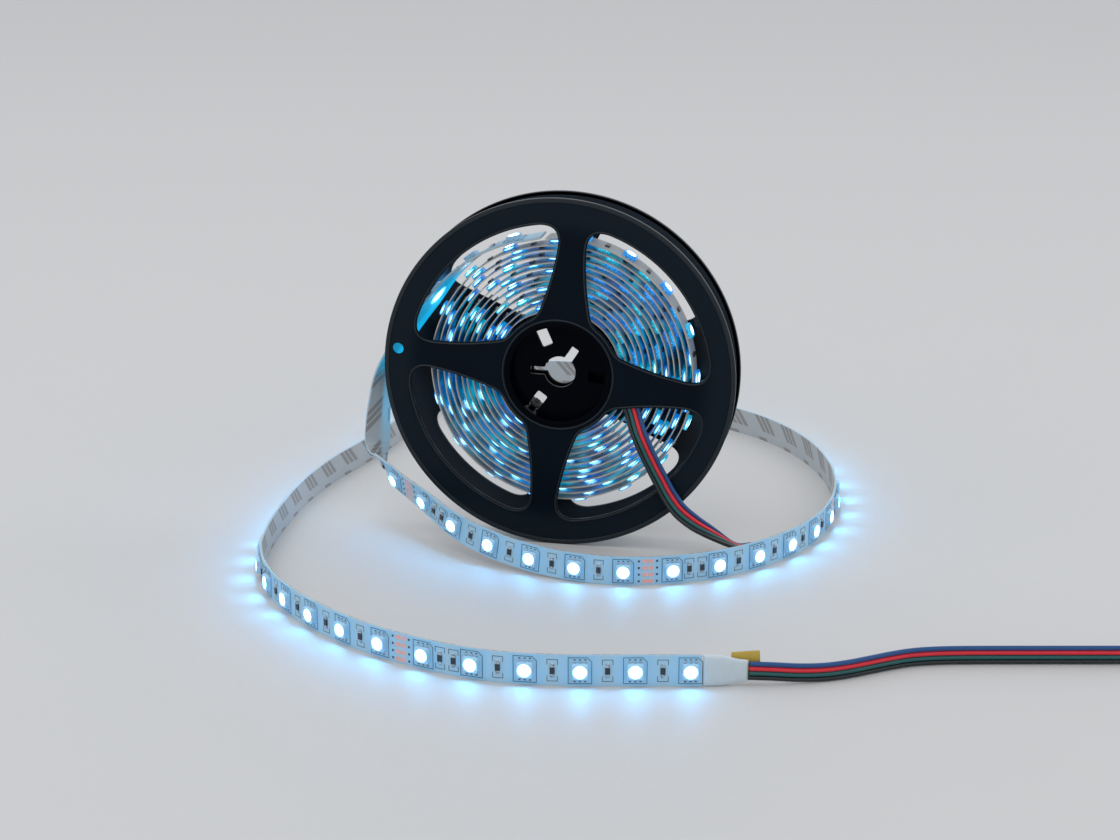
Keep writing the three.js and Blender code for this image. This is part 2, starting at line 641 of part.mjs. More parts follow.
place(reelAndStrip, "front_flange", frontFlange, blackPlastic);
place(reelAndStrip, "rear_flange", rearFlange, blackPlastic);
place(reelAndStrip, "wound_strip", woundStrip(), rolledStrip);
place(reelAndStrip, "strip_section_1", stripSection(END_SLEEVE_COVER, SECTION_LENGTH), stripWhite);
place(reelAndStrip, "strip_section_2", stripSection(SECTION_LENGTH + SEAT_GAP, runLength), stripWhite);
place(reelAndStrip, "outer_end_sleeve", endSleeve(), sleeveWhite);
place(reelAndStrip, "tape_tab", tapeTab(), amberTape);
place(reelAndStrip, "inner_end_sleeve", innerSleeve(), sleeveWhite);

for (const [lead, route] of [["outer", OUTER_ROUTE], ["inner", INNER_ROUTE]]) {
  WIRES.forEach((colour, i) => {
    const curve = wireCurve(route, (i - (WIRES.length - 1) / 2) * WIRE_PITCH);
    place(leads, `${lead}_lead_${colour}`, wire(curve), wireMaterial[colour]);
    place(leads, `${lead}_tip_${colour}`, wireTip(curve), tinned);
  });
}

// The origin is under the middle of the reel and strip, without the leads.
const object = new THREE.Group();
object.add(reelAndStrip, leads);
const extent = new THREE.Box3().setFromObject(reelAndStrip);
const middle = extent.getCenter(new THREE.Vector3());
object.position.set(-middle.x, -middle.y, -extent.min.z);

export default object;
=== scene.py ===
import math

import bmesh
import bpy
import numpy as np
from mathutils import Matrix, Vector


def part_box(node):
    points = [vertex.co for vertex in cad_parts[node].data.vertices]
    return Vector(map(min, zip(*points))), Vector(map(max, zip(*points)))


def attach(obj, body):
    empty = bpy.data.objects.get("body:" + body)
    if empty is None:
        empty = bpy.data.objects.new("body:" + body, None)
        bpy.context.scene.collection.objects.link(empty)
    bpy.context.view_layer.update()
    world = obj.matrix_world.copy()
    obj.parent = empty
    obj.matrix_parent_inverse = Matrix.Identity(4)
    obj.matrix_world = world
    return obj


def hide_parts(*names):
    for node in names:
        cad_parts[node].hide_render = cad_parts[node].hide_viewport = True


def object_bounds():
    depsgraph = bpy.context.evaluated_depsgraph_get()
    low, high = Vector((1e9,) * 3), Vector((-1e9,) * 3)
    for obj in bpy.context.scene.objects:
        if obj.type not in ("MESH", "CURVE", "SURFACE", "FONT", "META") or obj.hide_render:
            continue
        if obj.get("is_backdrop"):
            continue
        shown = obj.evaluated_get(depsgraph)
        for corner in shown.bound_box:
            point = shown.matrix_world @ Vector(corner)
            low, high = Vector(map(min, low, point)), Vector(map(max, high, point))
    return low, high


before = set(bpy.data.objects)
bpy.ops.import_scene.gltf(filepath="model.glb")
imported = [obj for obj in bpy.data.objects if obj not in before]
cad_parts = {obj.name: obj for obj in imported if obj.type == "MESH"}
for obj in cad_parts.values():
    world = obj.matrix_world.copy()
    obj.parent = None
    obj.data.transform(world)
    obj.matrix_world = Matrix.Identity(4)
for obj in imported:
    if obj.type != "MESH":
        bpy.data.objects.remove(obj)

cad_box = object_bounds()


# Camera
# The reel stands at the middle of the set. Its foot is the point on the floor under the middle
# of its axis, and every size below is in millimetres from that foot.
front_low, front_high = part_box("front_flange")
rear_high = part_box("rear_flange")[1]
reel_foot = np.array([
    (front_low.x + front_high.x) / 2,
    (front_low.y + rear_high.y) / 2,
    front_low.z,
])


def from_foot(points):
    """Points in metres in the part's frame: the reel's foot plus a thousandth of the millimetres."""
    return reel_foot + np.asarray(points, float) / 1000


def placed(name, data):
    """A new object in the scene that shows the given data."""
    thing = bpy.data.objects.new(name, data)
    bpy.context.collection.objects.link(thing)
    return thing


focal_pixels, picture_width = 2134, 1120
look_down, turned_left = 17, 11.7
camera_data = bpy.data.cameras.new("camera")
camera_data.sensor_width = 36
camera_data.lens = focal_pixels / picture_width * camera_data.sensor_width
camera_data.clip_end = 50
camera_data.dof.use_dof = False
camera = placed("camera", camera_data)
camera.location = from_foot([146.08, -708.11, 265.0])
camera.rotation_euler = (math.radians(90 - look_down), 0, math.radians(turned_left))
bpy.context.scene.camera = camera


# Leads
# A flat lead at each end of the strip: four stranded copper wires in soft PVC, blue, red, green
# and black, moulded side by side. Each wire is cut back to a bare tip, twisted and tinned.

def smooth_route(points, per_span=24):
    """Centripetal Catmull-Rom curve: between two points, a cubic whose end slopes are weighed by
    the square roots of the distances to the neighbouring points. Returns the points and, for
    each, how many spans it lies along the route."""
    p = np.asarray(points, float)
    p = np.vstack([2 * p[0] - p[1], p, 2 * p[-1] - p[-2]])
    gap = np.linalg.norm(np.diff(p, axis=0), axis=1)[:, None] ** 0.5
    a, b, c, d = p[:-3], p[1:-2], p[2:-1], p[3:]
    before, here, after = gap[:-2], gap[1:-1], gap[2:]
    start = ((b - a) / before - (c - a) / (before + here) + (c - b) / here) * here
    end = ((c - b) / here - (d - b) / (here + after) + (d - c) / after) * here
    t = (np.arange(per_span) / per_span)[None, :, None]
    b, c, start, end = b[:, None], c[:, None], start[:, None], end[:, None]
    curve = (
        b * (2 * t**3 - 3 * t**2 + 1) + start * (t**3 - 2 * t**2 + t)
        + c * (3 * t**2 - 2 * t**3) + end * (t**3 - t**2)
    )
    curve = np.vstack([curve.reshape(-1, 3), p[-2]])
    return curve, np.arange(len(curve)) / per_span


def unit(vectors):
    """Each vector over its own length."""
    return vectors / np.linalg.norm(vectors, axis=-1, keepdims=True)


def square_to(along, over):
    """What is left of over without its share of along, as unit vectors."""
    return unit(over - along * np.sum(over * along, axis=1, keepdims=True))


def distances(points):
    """How far each point lies along a line of points."""
    return np.concatenate([[0], np.cumsum(np.linalg.norm(np.diff(points, axis=0), axis=1))])


def read_at(at, places, table):
    """The rows of a table at the given places, mixed linearly between the rows it has."""
    return np.stack([np.interp(at, places, column) for column in np.transpose(table)], axis=-1)


def even_steps(curve, knots, across, step):
    """The route at even distances: centre, direction along, direction across made square to it,
    and the distance itself. Across is mixed linearly between the route's own points."""
    run = distances(curve)
    at = np.linspace(0, run[-1], int(round(run[-1] / step)) + 1)
    centre = read_at(at, run, curve)
    along = unit(np.gradient(centre, at, axis=0))
    over = read_at(np.interp(at, run, knots), np.arange(len(across)), across)
    return centre, along, square_to(along, over), at


def mesh_piece(name, points, faces, material, uv=None, smooth=True, marks=None):
    """A mesh object at the origin from points in millimetres from the reel's foot. uv holds a
    pair for each point, marks a number for each point that the material can read."""
    mesh = bpy.data.meshes.new(name)
    mesh.from_pydata(from_foot(points).tolist(), [], [list(f) for f in faces])
    corner = np.zeros(len(mesh.loops), np.int32)
    mesh.loops.foreach_get("vertex_index", corner)
    if uv is not None:
        layer = mesh.uv_layers.new(name="UVMap")
        layer.data.foreach_set("uv", np.asarray(uv, np.float32)[corner].ravel())
    if marks is not None:
        mark = mesh.attributes.new("mark", "FLOAT", "POINT")
        mark.data.foreach_set("value", np.asarray(marks, np.float32))
    mesh.polygons.foreach_set("use_smooth", np.full(len(mesh.polygons), smooth))
    mesh.materials.append(material)
    mesh.update()
    return placed(name, mesh)


def skin(rings, sides, first=0, closed=False):
    """Faces between rings of points: each quad joins two neighbours of one ring to the same two
    of the next. The first and last rings are filled, or the last joins the first."""
    i = np.arange(rings if closed else rings - 1)[:, None]
    j = np.arange(sides)[None, :]
    a = i * sides + j
    b = i * sides + (j + 1) % sides
    c = (i + 1) % rings * sides + (j + 1) % sides
    d = (i + 1) % rings * sides + j
    quads = (np.stack([a, b, c, d], axis=2).reshape(-1, 4) + first).tolist()
    if closed:
        return quads
    start = (np.arange(sides)[::-1] + first).tolist()
    end = (np.arange(sides) + (rings - 1) * sides + first).tolist()
    return quads + [start, end]


def feed(node, inputs):
    """Gives a node's inputs, by name or number, plain values or other nodes' outputs."""
    for key, value in inputs.items():
        if isinstance(value, bpy.types.NodeSocket):
            node.id_data.links.new(value, node.inputs[key])
        else:
            node.inputs[key].default_value = value


def wired(material, kind, inputs, **options):
    """The outputs of a new node in a material, with its inputs fed and its own options set."""
    node = material.node_tree.nodes.new("ShaderNode" + kind)
    for option, value in options.items():
        setattr(node, option, value)
    feed(node, inputs)
    return node.outputs


def noise(material, size, detail=2.0):
    """Soft random patches of a size in millimetres, as numbers from nought to one."""
    place = wired(material, "TexCoord", {})["Object"]
    return wired(material, "TexNoise", {"Vector": place, "Scale": 1000 / size, "Detail": detail})["Fac"]


def mixed(material, factor, first, second):
    """Two colours mixed by a factor."""
    return wired(
        material, "Mix", {"Factor": factor, "A": first, "B": second}, data_type="RGBA")["Result"]


def noisy_finish(name, colour, other, size, roughness, spread, bump, metallic=0.0):
    """A finish whose colour drifts between two values and whose roughness drifts by spread,
    both after noise of the given size in millimetres, with a fine bump."""
    material = bpy.data.materials.new(name)
    material.use_nodes = True
    drift = noise(material, size, 4)
    feed(material.node_tree.nodes["Principled BSDF"], {
        "Metallic": metallic,
        "Base Color": mixed(material, drift, (*colour, 1), (*other, 1)),
        "Roughness": wired(material, "MapRange", {
            "Value": drift, "To Min": roughness - spread, "To Max": roughness + spread})["Result"],
        "Normal": wired(material, "Bump", {
            "Height": noise(material, size / 6, 6), "Strength": bump, "Distance": 0.0002})["Normal"],
    })
    return material


wire_pitch, wire_radius, ring_spacing = 1.5, 0.75, 1.2
pvc_colours = {
    "black": ((0.005, 0.008, 0.010), (0.009, 0.013, 0.016), 0.26),
    "green": ((0.004, 0.075, 0.080), (0.008, 0.105, 0.105), 0.30),
    "red": ((0.60, 0.010, 0.026), (0.75, 0.020, 0.040), 0.30),
    "blue": ((0.002, 0.050, 0.17), (0.004, 0.068, 0.23), 0.30),
}
wire_finish = {
    colour: noisy_finish(f"{colour}_wire_pvc", dark, pale, 3, roughness, 0.06, 0.15)
    for colour, (dark, pale, roughness) in pvc_colours.items()
}
tinned_copper = noisy_finish(
    "tinned_copper", (0.62, 0.60, 0.57), (0.78, 0.77, 0.75), 0.8, 0.30, 0.10, 0.4, metallic=1.0)

standing = [0, 0, 1]
outer_route = [
    [81.6, -115.9, 4.7], [88.5, -113.9, 4.2], [96.0, -111.6, 3.5], [103.6, -108.6, 3.1],
    [110.4, -104.9, 3.1], [116.6, -100.4, 3.1], [122.6, -95.9, 3.1], [128.8, -92.0, 3.1],
    [135.8, -89.2, 3.1], [144.0, -87.0, 3.1], [154.0, -84.8, 3.1], [166.0, -82.3, 3.1],
    [179.0, -79.6, 3.1], [192.0, -76.9, 3.1], [205.0, -74.2, 3.1], [218.0, -71.5, 3.1],
    [231.0, -68.8, 3.1],
]
lane_y = -5.15
inner_route = [
    [24.0, lane_y, 57.8], [25.1, lane_y, 53.5], [26.7, -5.7, 49.2], [28.4, -7.4, 44.7],
    [30.4, -8.6, 40.3], [32.6, -8.9, 35.8], [34.8, -8.9, 31.4], [37.2, -9.1, 27.0],
    [40.2, -9.6, 21.8], [44.2, -10.5, 16.8], [49.4, -11.0, 12.9], [53.4, -10.5, 10.4],
    [56.8, -8.7, 7.9], [60.0, -6.0, 5.1], [62.8, -3.4, 2.7], [65.6, -1.0, 1.2],
    [69.4, 1.8, 0.95],
]
inner_across = [
    [0.96, 0, 0.26], [0.95, 0, 0.31], [0.92, 0, 0.38], [0.91, 0, 0.42], [0.91, 0, 0.42],
    [0.9, 0, 0.44], [0.89, 0, 0.46], [0.86, 0.05, 0.5], [0.82, 0.15, 0.55],
    [0.68, 0.35, 0.62], [0.48, 0.62, 0.6], [0.25, 0.82, 0.5], [0.0, 0.9, 0.35],
    [-0.25, 0.93, 0.2], [-0.45, 0.87, 0.08], [-0.6, 0.8, 0.02], [-0.6, 0.8, 0],
]


def full_turn(count):
    """Evenly spaced angles, once round."""
    return np.linspace(0, 2 * math.pi, count, endpoint=False)


def round_wire(centre, along, over, radius, sides=18):
    """A tube of rings: centre plus radius times cosine and sine of the angle round the wire."""
    side = np.cross(along, over)
    angle = full_turn(sides)
    return (
        centre[:, None]
        + radius * np.cos(angle)[None, :, None] * over[:, None]
        + radius * np.sin(angle)[None, :, None] * side[:, None]
    )


def twisted_tip(start, along, over, sides=21, rings=22, length=5.3):
    """Seven strands twisted together: the radius swells seven times round the wire, and the
    swell turns by a third of a turn from root to end, where the solder rounds it off."""
    strands, core, swell, twist, straight = 7, 0.34, 0.05, 2.2, 0.93
    side = np.cross(along, over)
    t = np.linspace(0, 1, rings)[:, None]
    angle = full_turn(sides)[None, :]
    radius = core + swell * np.abs(np.cos(strands / 2 * (angle - twist * t)))
    radius = radius * np.sqrt(np.clip(1 - ((t - straight) / 0.085).clip(0) ** 2, 0.04, 1))
    across = radius[..., None] * (
        np.cos(angle)[..., None] * over + np.sin(angle)[..., None] * side
    )
    return start + (t * length)[..., None] * along + across


for lead, route, lead_across in (
    ("outer", outer_route, [standing] * len(outer_route)),
    ("inner", inner_route, inner_across),
):
    curve, knots = smooth_route(route)
    for number, colour in enumerate(pvc_colours):
        middle, along, over, at = even_steps(curve, knots, lead_across, ring_spacing)
        middle = middle + over * (number - (len(pvc_colours) - 1) / 2) * wire_pitch
        along = unit(np.gradient(middle, axis=0))
        over = square_to(along, over)
        tube = round_wire(middle, along, over, wire_radius)
        rings, sides = tube.shape[:2]
        reach = distances(middle)
        wire = mesh_piece(
            f"{lead}_wire_{colour}", tube.reshape(-1, 3), skin(rings, sides), wire_finish[colour],
            uv=np.stack([np.repeat(reach, sides) / 10, np.tile(np.arange(sides) / sides, rings)], 1),
        )
        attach(wire, "root")
        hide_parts(f"{lead}_lead_{colour}")
        tip = twisted_tip(middle[-1], along[-1], over[-1])
        bare = mesh_piece(
            f"{lead}_bare_tip_{colour}", tip.reshape(-1, 3), skin(*tip.shape[:2]), tinned_copper)
        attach(bare, "root")
        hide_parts(f"{lead}_tip_{colour}")


# Strip: where it runs
# The free end of the strip comes off the roll, drops beside the rim with a soft twist, and runs
# standing on edge in a loop on the floor, in front of the reel, behind it and in front again.

exit_y = 0.7
edge_on = [0, 1, 0]
upright = [0, 0, -1]
strip_width = 10.0
off_the_roll = [
    ([-6.63, exit_y, 110.29], edge_on), ([-23.1, exit_y, 105.94], edge_on),
    ([-36.89, exit_y, 96.54], [0.13, 0.98, -0.12]), ([-46.95, exit_y, 84.39], [0.34, 0.93, -0.16]),
    ([-55.15, exit_y, 73.82], [0.45, 0.89, -0.09]), ([-61.67, exit_y, 64.44], [0.47, 0.88, -0.02]),
    ([-65.3, 0.8, 56.5], [0.48, 0.88, -0.03]), ([-67.1, 1.2, 47.7], [0.53, 0.84, -0.12]),
    ([-68.2, 1.8, 39.0], [0.65, 0.73, -0.23]), ([-68.6, 2.0, 31.2], [0.69, 0.63, -0.36]),
    ([-67.8, 0.4, 26.4], [0.41, 0.72, -0.56]), ([-65.3, -2.2, 23.9], [-0.05, 0.76, -0.65]),
    ([-60.4, -6.1, 20.8], [-0.22, 0.55, -0.81]), ([-54.2, -11.0, 18.6], [-0.06, 0.44, -0.9]),
    ([-47.4, -15.7, 16.4], [-0.05, 0.33, -0.94]), ([-34.4, -25.0, 11.7], [-0.01, 0.09, -1]),
    ([-19.8, -32.2, 8.0], upright), ([-4.1, -37.9, 6.0], upright), ([12.6, -41.9, 5.2], upright),
]
floor_loop = [
    (30.0, -42.0), (46.4, -37.1), (61.0, -28.6), (74.0, -15.6), (84.5, 0.4), (91.3, 19.4), (94.0, 41.0),
    (92.6, 60.0), (88.8, 77.5), (81.6, 96.8), (71.0, 115.0), (56.6, 131.4), (38.5, 144.7),
    (20.5, 156.6), (5.0, 172.2), (-12.5, 187.8), (-34.6, 196.9), (-57.1, 192.6), (-74.1, 175.9),
    (-83.1, 152.3), (-86.1, 126.5), (-88.0, 103.0), (-90.3, 84.0), (-94.0, 66.0), (-99.0, 42.0),
    (-101.4, 16.0), (-100.8, -10.0), (-98.4, -34.0), (-93.4, -57.0), (-84.4, -75.0), (-71.6, -90.6),
    (-55.0, -104.8), (-35.8, -116.6), (-15.0, -124.8), (4.0, -128.6), (24.0, -127.8), (48.0, -123.2),
    (72.6, -118.2),
]
free_run = off_the_roll + [([x, y, strip_width / 2], upright) for x, y in floor_loop]
strip_step = 0.4
run_curve, run_knots = smooth_route([point for point, _ in free_run])
run_centre, run_along, run_over, run_at = even_steps(
    run_curve, run_knots, [across for _, across in free_run], strip_step)
run_out = np.cross(run_over, run_along)
run_length = run_at[-1]


def on_strip(s, w, h):
    """A place on the strip: s millimetres from its end at the outer lead, w across it towards
    the edge on the floor, h out of its lit face from the middle of its thickness."""
    s, w, h = np.broadcast_arrays(*(np.asarray(v, float) for v in (s, w, h)))
    centre, over, out = (
        read_at(run_length - s, run_at, table) for table in (run_centre, run_over, run_out))
    return centre + w[..., None] * unit(over) + h[..., None] * unit(out)


board_face, board_back, liner_face, liner_back = 0.4, 0.08, -0.28, -0.4


def seat_on_strip(shape, s):
    """Rigid small parts on the bent strip: each copy of the shape (its own x along the strip
    towards the lead, y across, z out) is set in the strip's directions at its middle."""
    centre, along, over, out = (
        read_at(run_length - s, run_at, table)
        for table in (run_centre, run_along, run_over, run_out))
    base = centre + board_face * out
    return (
        base[:, None] + shape[None, :, :1] * along[:, None]
        + shape[None, :, 1:2] * over[:, None] + shape[None, :, 2:] * out[:, None]
    )


def copies(faces, points_each, count):
    """The same faces again for each copy, numbered after the copies before it."""
    return [[v + k * points_each for v in face] for k in range(count) for face in faces]


def row_on_strip(name, shape, places, material, **look):
    """One piece made of a rigid shape, its points and faces, at each of the places."""
    points, faces = shape
    return mesh_piece(
        name, seat_on_strip(points, places).reshape(-1, 3),
        copies(faces, len(points), len(places)), material, **look)


# Strip: board, tape and liner
# The strip is a flexible printed board with a white face. Double-sided tape is stuck on its
# back, still under its paper liner, which has plain slanting bars printed along one edge.

def slab(s0, s1, w0, w1, h0, h1, step=1.6):
    """A closed band of the strip: four corners of a rectangle across it, carried along it."""
    stations = np.linspace(s0, s1, max(int(abs(s1 - s0) / step), 1) + 1)
    corner_w = np.array([w0, w1, w1, w0])
    corner_h = np.array([h1, h1, h0, h0])
    points = on_strip(stations[:, None], corner_w[None, :], corner_h[None, :])
    spread = np.stack([
        np.repeat(stations, 4), np.tile(corner_w, len(stations))], axis=1)
    return points.reshape(-1, 3), skin(len(stations), 4), spread


def node_maths(material):
    """Two shorthands for a material's nodes: an operation on numbers or other nodes' outputs,
    and a smooth step of a value, one level up to low and another from high on."""

    def number(operation, *values):
        return wired(material, "Math", dict(enumerate(values)), operation=operation)["Value"]

    def fade(value, low, high, at_low=0.0, at_high=1.0):
        return wired(material, "MapRange", {
            "Value": value, "From Min": low, "From Max": high, "To Min": at_low, "To Max": at_high,
        }, interpolation_type="SMOOTHSTEP")["Result"]

    return number, fade


def tint_over(material, colour, factor):
    """Another colour over a finish's own: the two are mixed by the factor that a node gives."""
    shader = material.node_tree.nodes["Principled BSDF"]
    own = shader.inputs["Base Color"].links[0].from_socket
    feed(shader, {"Base Color": mixed(material, factor, own, (*colour, 1))})


def glow(material, colour, strength):
    """Light that a finish gives off by itself."""
    feed(material.node_tree.nodes["Principled BSDF"], {
        "Emission Color": colour, "Emission Strength": strength})


def along_and_across(material):
    """The two halves of the UV map, which hold millimetres along the strip and across it."""
    split = wired(material, "SeparateXYZ", {"Vector": wired(material, "UVMap", {})["UV"]})
    return split["X"], split["Y"]


def board_finish():
    """White solder mask with the light of its LEDs painted on: its colour is blue, bluer near each
    LED, after the distance along the strip to the nearest one, and greyer between."""
    material = noisy_finish("board_painted_led_light", (0.29, 0.57, 0.80), (0.34, 0.62, 0.86), 6, 0.42, 0.05, 0.06)
    number, fade = node_maths(material)
    along, _ = along_and_across(material)
    phase = number("FRACT", number("DIVIDE", along, led_pitch))
    from_led = number("ABSOLUTE", number("SUBTRACT", phase, 0.5))
    # Painted LED light: a greyer tint away from each LED over the painted blue
    tint_over(material, (0.37, 0.60, 0.77), fade(from_led, 0.2, 0.48))
    return material


def liner_finish():
    """Grey-white release paper with plain slanting bars in threes and a row of short ones below:
    a group starts where the distance along less the distance across, over the groups' spacing,
    is a whole. Where the strip leaves the roll the light of the LEDs behind it is painted on:
    the paper is tinted cyan and glows."""
    material = noisy_finish("liner_paper", (0.43, 0.475, 0.51), (0.48, 0.52, 0.55), 4, 0.5, 0.08, 0.12)
    number, fade = node_maths(material)
    along, across = along_and_across(material)
    group_spacing, slope, bar_share = 17.0, 0.9, 0.18
    slant = number("SUBTRACT", along, number("MULTIPLY", across, slope))
    phase = number("FRACT", number("DIVIDE", slant, group_spacing))
    bar = number("LESS_THAN", number("FRACT", number("DIVIDE", phase, bar_share)), 0.74)
    three = number("MULTIPLY", bar, number("LESS_THAN", phase, 0.5))
    tall = number("MULTIPLY", three, number("LESS_THAN", across, 1.2))
    short = number("MULTIPLY", number("GREATER_THAN", phase, 0.7), number("GREATER_THAN", across, 3.8))
    printed = number("MULTIPLY", number("ADD", tall, short), 0.8)
    tint_over(material, (0.24, 0.23, 0.225), printed)

    # Painted LED light on the paper, by the millimetres from the roll: a cyan tint and a glow
    from_roll = number("SUBTRACT", run_length, along)
    freed = fade(from_roll, 30, 40)
    painted_cyan_tint = number("MULTIPLY", freed, fade(from_roll, 74, 88, 0.95, 0.0))
    tint_over(material, (0.03, 0.22, 0.34), painted_cyan_tint)
    upper_glow = fade(from_roll, 76, 86, 0.36, 0.0)
    edge_glow = number("MULTIPLY", fade(from_roll, 92, 124, 0.34, 0.0), fade(across, -0.5, 3.0))
    shine = number("MULTIPLY", freed, number("ADD", upper_glow, edge_glow))
    # A painted white-hot spot of light on the paper where an LED lies behind it
    led_behind = 46
    beside = number("POWER", number("DIVIDE", number("SUBTRACT", from_roll, led_behind), 4.6), 2)
    apart = number("ADD", beside, number("POWER", number("DIVIDE", across, 2.4), 2))
    core = fade(apart, 0.1, 1.1, 2.6, 0.0)
    whiter = fade(apart, 0.0, 1.1, 1.0, 0.0)
    tint = mixed(material, whiter, (0.0, 0.55, 1.0, 1), (0.45, 0.85, 1.0, 1))
    glow(material, tint, number("ADD", shine, core))
    return material


led_pitch = 100 / 6
joint, joint_gap, sleeve_cover = 500.15, 0.3, 5.0
half_strip, tape_inset = strip_width / 2, 0.1
board_painted_led_light = board_finish()
liner_paper = liner_finish()
tape_glue = noisy_finish("tape_adhesive", (0.50, 0.52, 0.52), (0.56, 0.58, 0.58), 2, 0.6, 0.05, 0.2)
section_ends = {
    "strip_section_1": (sleeve_cover, joint - joint_gap / 2),
    "strip_section_2": (joint + joint_gap / 2, run_length),
}
for section, (near_end, far_end) in section_ends.items():
    for layer, half_width, back, front, material in (
        ("board", half_strip, board_back, board_face, board_painted_led_light),
        ("tape", half_strip - tape_inset, liner_face, board_back, tape_glue),
        ("liner", half_strip, liner_back, liner_face, liner_paper),
    ):
        points, faces, spread = slab(near_end, far_end, -half_width, half_width, back, front)
        piece = mesh_piece(f"{layer}_{section[-1]}", points, faces, material, uv=spread, smooth=False)
        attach(piece, "root")
        if layer == "board":
            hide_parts(section)


# Strip: LEDs
# Each LED is a square white package soldered on by six terminals, with a round well filled with
# clear resin over its chips. They are lit, and look white in the middle and blue at the edge.

half_led = 2.5
led_count = int((run_length - half_led) // led_pitch + 1)
led_places = led_pitch * (np.arange(led_count) + 0.5)
led_places = led_places[(led_places > sleeve_cover + half_led) & (led_places < run_length - half_led)]
led_places = led_places[np.abs(led_places - joint) > half_led]
square, circle = 8.0, 2.0


def square_ring(half, power, count=48):
    """A rounded square or a circle: at each angle the distance at which the powers of both
    coordinates' sizes add up to the same power of half the width."""
    angle = full_turn(count) + math.pi / count
    c, s = np.cos(angle), np.sin(angle)
    size = half / (np.abs(c) ** power + np.abs(s) ** power) ** (1 / power)
    return np.stack([c * size, s * size], axis=1)


def lofted(profile):
    """Rings stacked from (outline, height) pairs, closed at both ends."""
    rings = [np.column_stack([ring, np.full(len(ring), z)]) for ring, z in profile]
    return np.vstack(rings), skin(len(rings), len(rings[0][:, 0]))


def ramp(material, value, *stops):
    """Colours that change along a value, from pairs of a place on it and the colour there."""
    node = material.node_tree.nodes.new("ShaderNodeValToRGB")
    feed(node, {"Fac": value})
    elements = node.color_ramp.elements
    elements[0].position, elements[1].position = stops[0][0], stops[-1][0]
    for place, _ in stops[1:-1]:
        elements.new(place)
    for element, (_, colour) in zip(elements, stops):
        element.color = (*colour, 1)
    return node.outputs["Color"]


def glow_finish(name, middle, edge, strength, edge_strength):
    """Lit resin: the light is strong and near white in the middle of the well and weaker and
    bluer at its rim, after the distance from the middle that the UV map holds."""
    material = bpy.data.materials.new(name)
    material.use_nodes = True
    feed(material.node_tree.nodes["Principled BSDF"], {
        "Base Color": (0.8, 0.85, 0.9, 1), "Roughness": 0.25})
    spot = wired(material, "UVMap", {})["UV"]
    from_middle = wired(material, "VectorMath", {0: spot}, operation="LENGTH")["Value"]
    power = wired(material, "MapRange", {
        "Value": from_middle, "From Min": 0.7, "To Min": strength, "To Max": edge_strength})["Result"]
    glow(material, ramp(material, from_middle, (0.70, middle), (0.98, edge)), power)
    return material


package_half, package_top, chamfer, well_radius, well_floor = 2.46, 1.55, 0.13, 2.05, 1.34
package = lofted([
    (square_ring(package_half, square), -0.05), (square_ring(package_half, square), package_top - chamfer),
    (square_ring(2.38, square), package_top), (square_ring(2.30, circle), package_top),
    (square_ring(well_radius, circle), well_floor),
])
lens = lofted([
    (square_ring(2.0, circle), 1.30), (square_ring(2.12, circle), 1.42),
    (square_ring(1.85, circle), 1.49), (square_ring(1.2, circle), 1.54),
    (square_ring(0.5, circle), 1.56),
])
# The white package is coloured blue as painted LED light; its faint blue glow is the LED's own light
# through the plastic
led_package_painted_blue = noisy_finish("led_package", (0.36, 0.60, 0.78), (0.44, 0.68, 0.84), 1.2, 0.35, 0.05, 0.05)
glow(led_package_painted_blue, (0.10, 0.45, 0.95, 1), 0.10)
lit_resin = glow_finish("lit_resin", (0.055, 0.50, 1.0), (0.22, 0.52, 1.0), 56.0, 1.1)
packages = row_on_strip("led_packages", package, led_places, led_package_painted_blue, smooth=False)
lenses = row_on_strip(
    "led_lenses", lens, led_places, lit_resin,
    uv=np.tile(lens[0][:, :2] / well_radius, (len(led_places), 1)))
for piece in (packages, lenses):
    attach(piece, "root")


def chamfered_block(length, width, height, edge):
    """A block with its upper edges cut: a full outline below and a smaller one on top."""
    x, y = length / 2, width / 2
    low = [[-x, -y], [x, -y], [x, y], [-x, y]]
    top = [[-x + edge, -y + edge], [x - edge, -y + edge], [x - edge, y - edge], [-x + edge, y - edge]]
    points = np.vstack([
        np.column_stack([low, [-0.03] * 4]), np.column_stack([low, [height - edge] * 4]),
        np.column_stack([top, [height] * 4]),
    ])
    return points, skin(3, 4)


def seated(block, offsets):
    """One shape made of copies of a block at the given offsets along and across."""
    points, faces = block
    moved = [points + np.array([dx, dy, 0]) for dx, dy in offsets]
    return np.vstack(moved), copies(faces, len(points), len(offsets))


solder = noisy_finish("solder", (0.30, 0.38, 0.45), (0.58, 0.66, 0.74), 0.9, 0.28, 0.1, 0.5, metallic=1.0)
terminal_columns = (-1.62, 0.0, 1.62)
terminals = seated(
    chamfered_block(0.86, 1.05, 0.34, 0.16), [(x, y) for y in (-2.75, 2.75) for x in terminal_columns])
joints = row_on_strip("led_solder_joints", terminals, led_places, solder, smooth=False)
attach(joints, "root")


# Strip: resistors and cut pads
# Chip resistors with black tops and tinned ends sit between the LEDs, one in most gaps and two
# before the last LED of a group. Every 100 mm four bare copper pads are the place to cut.

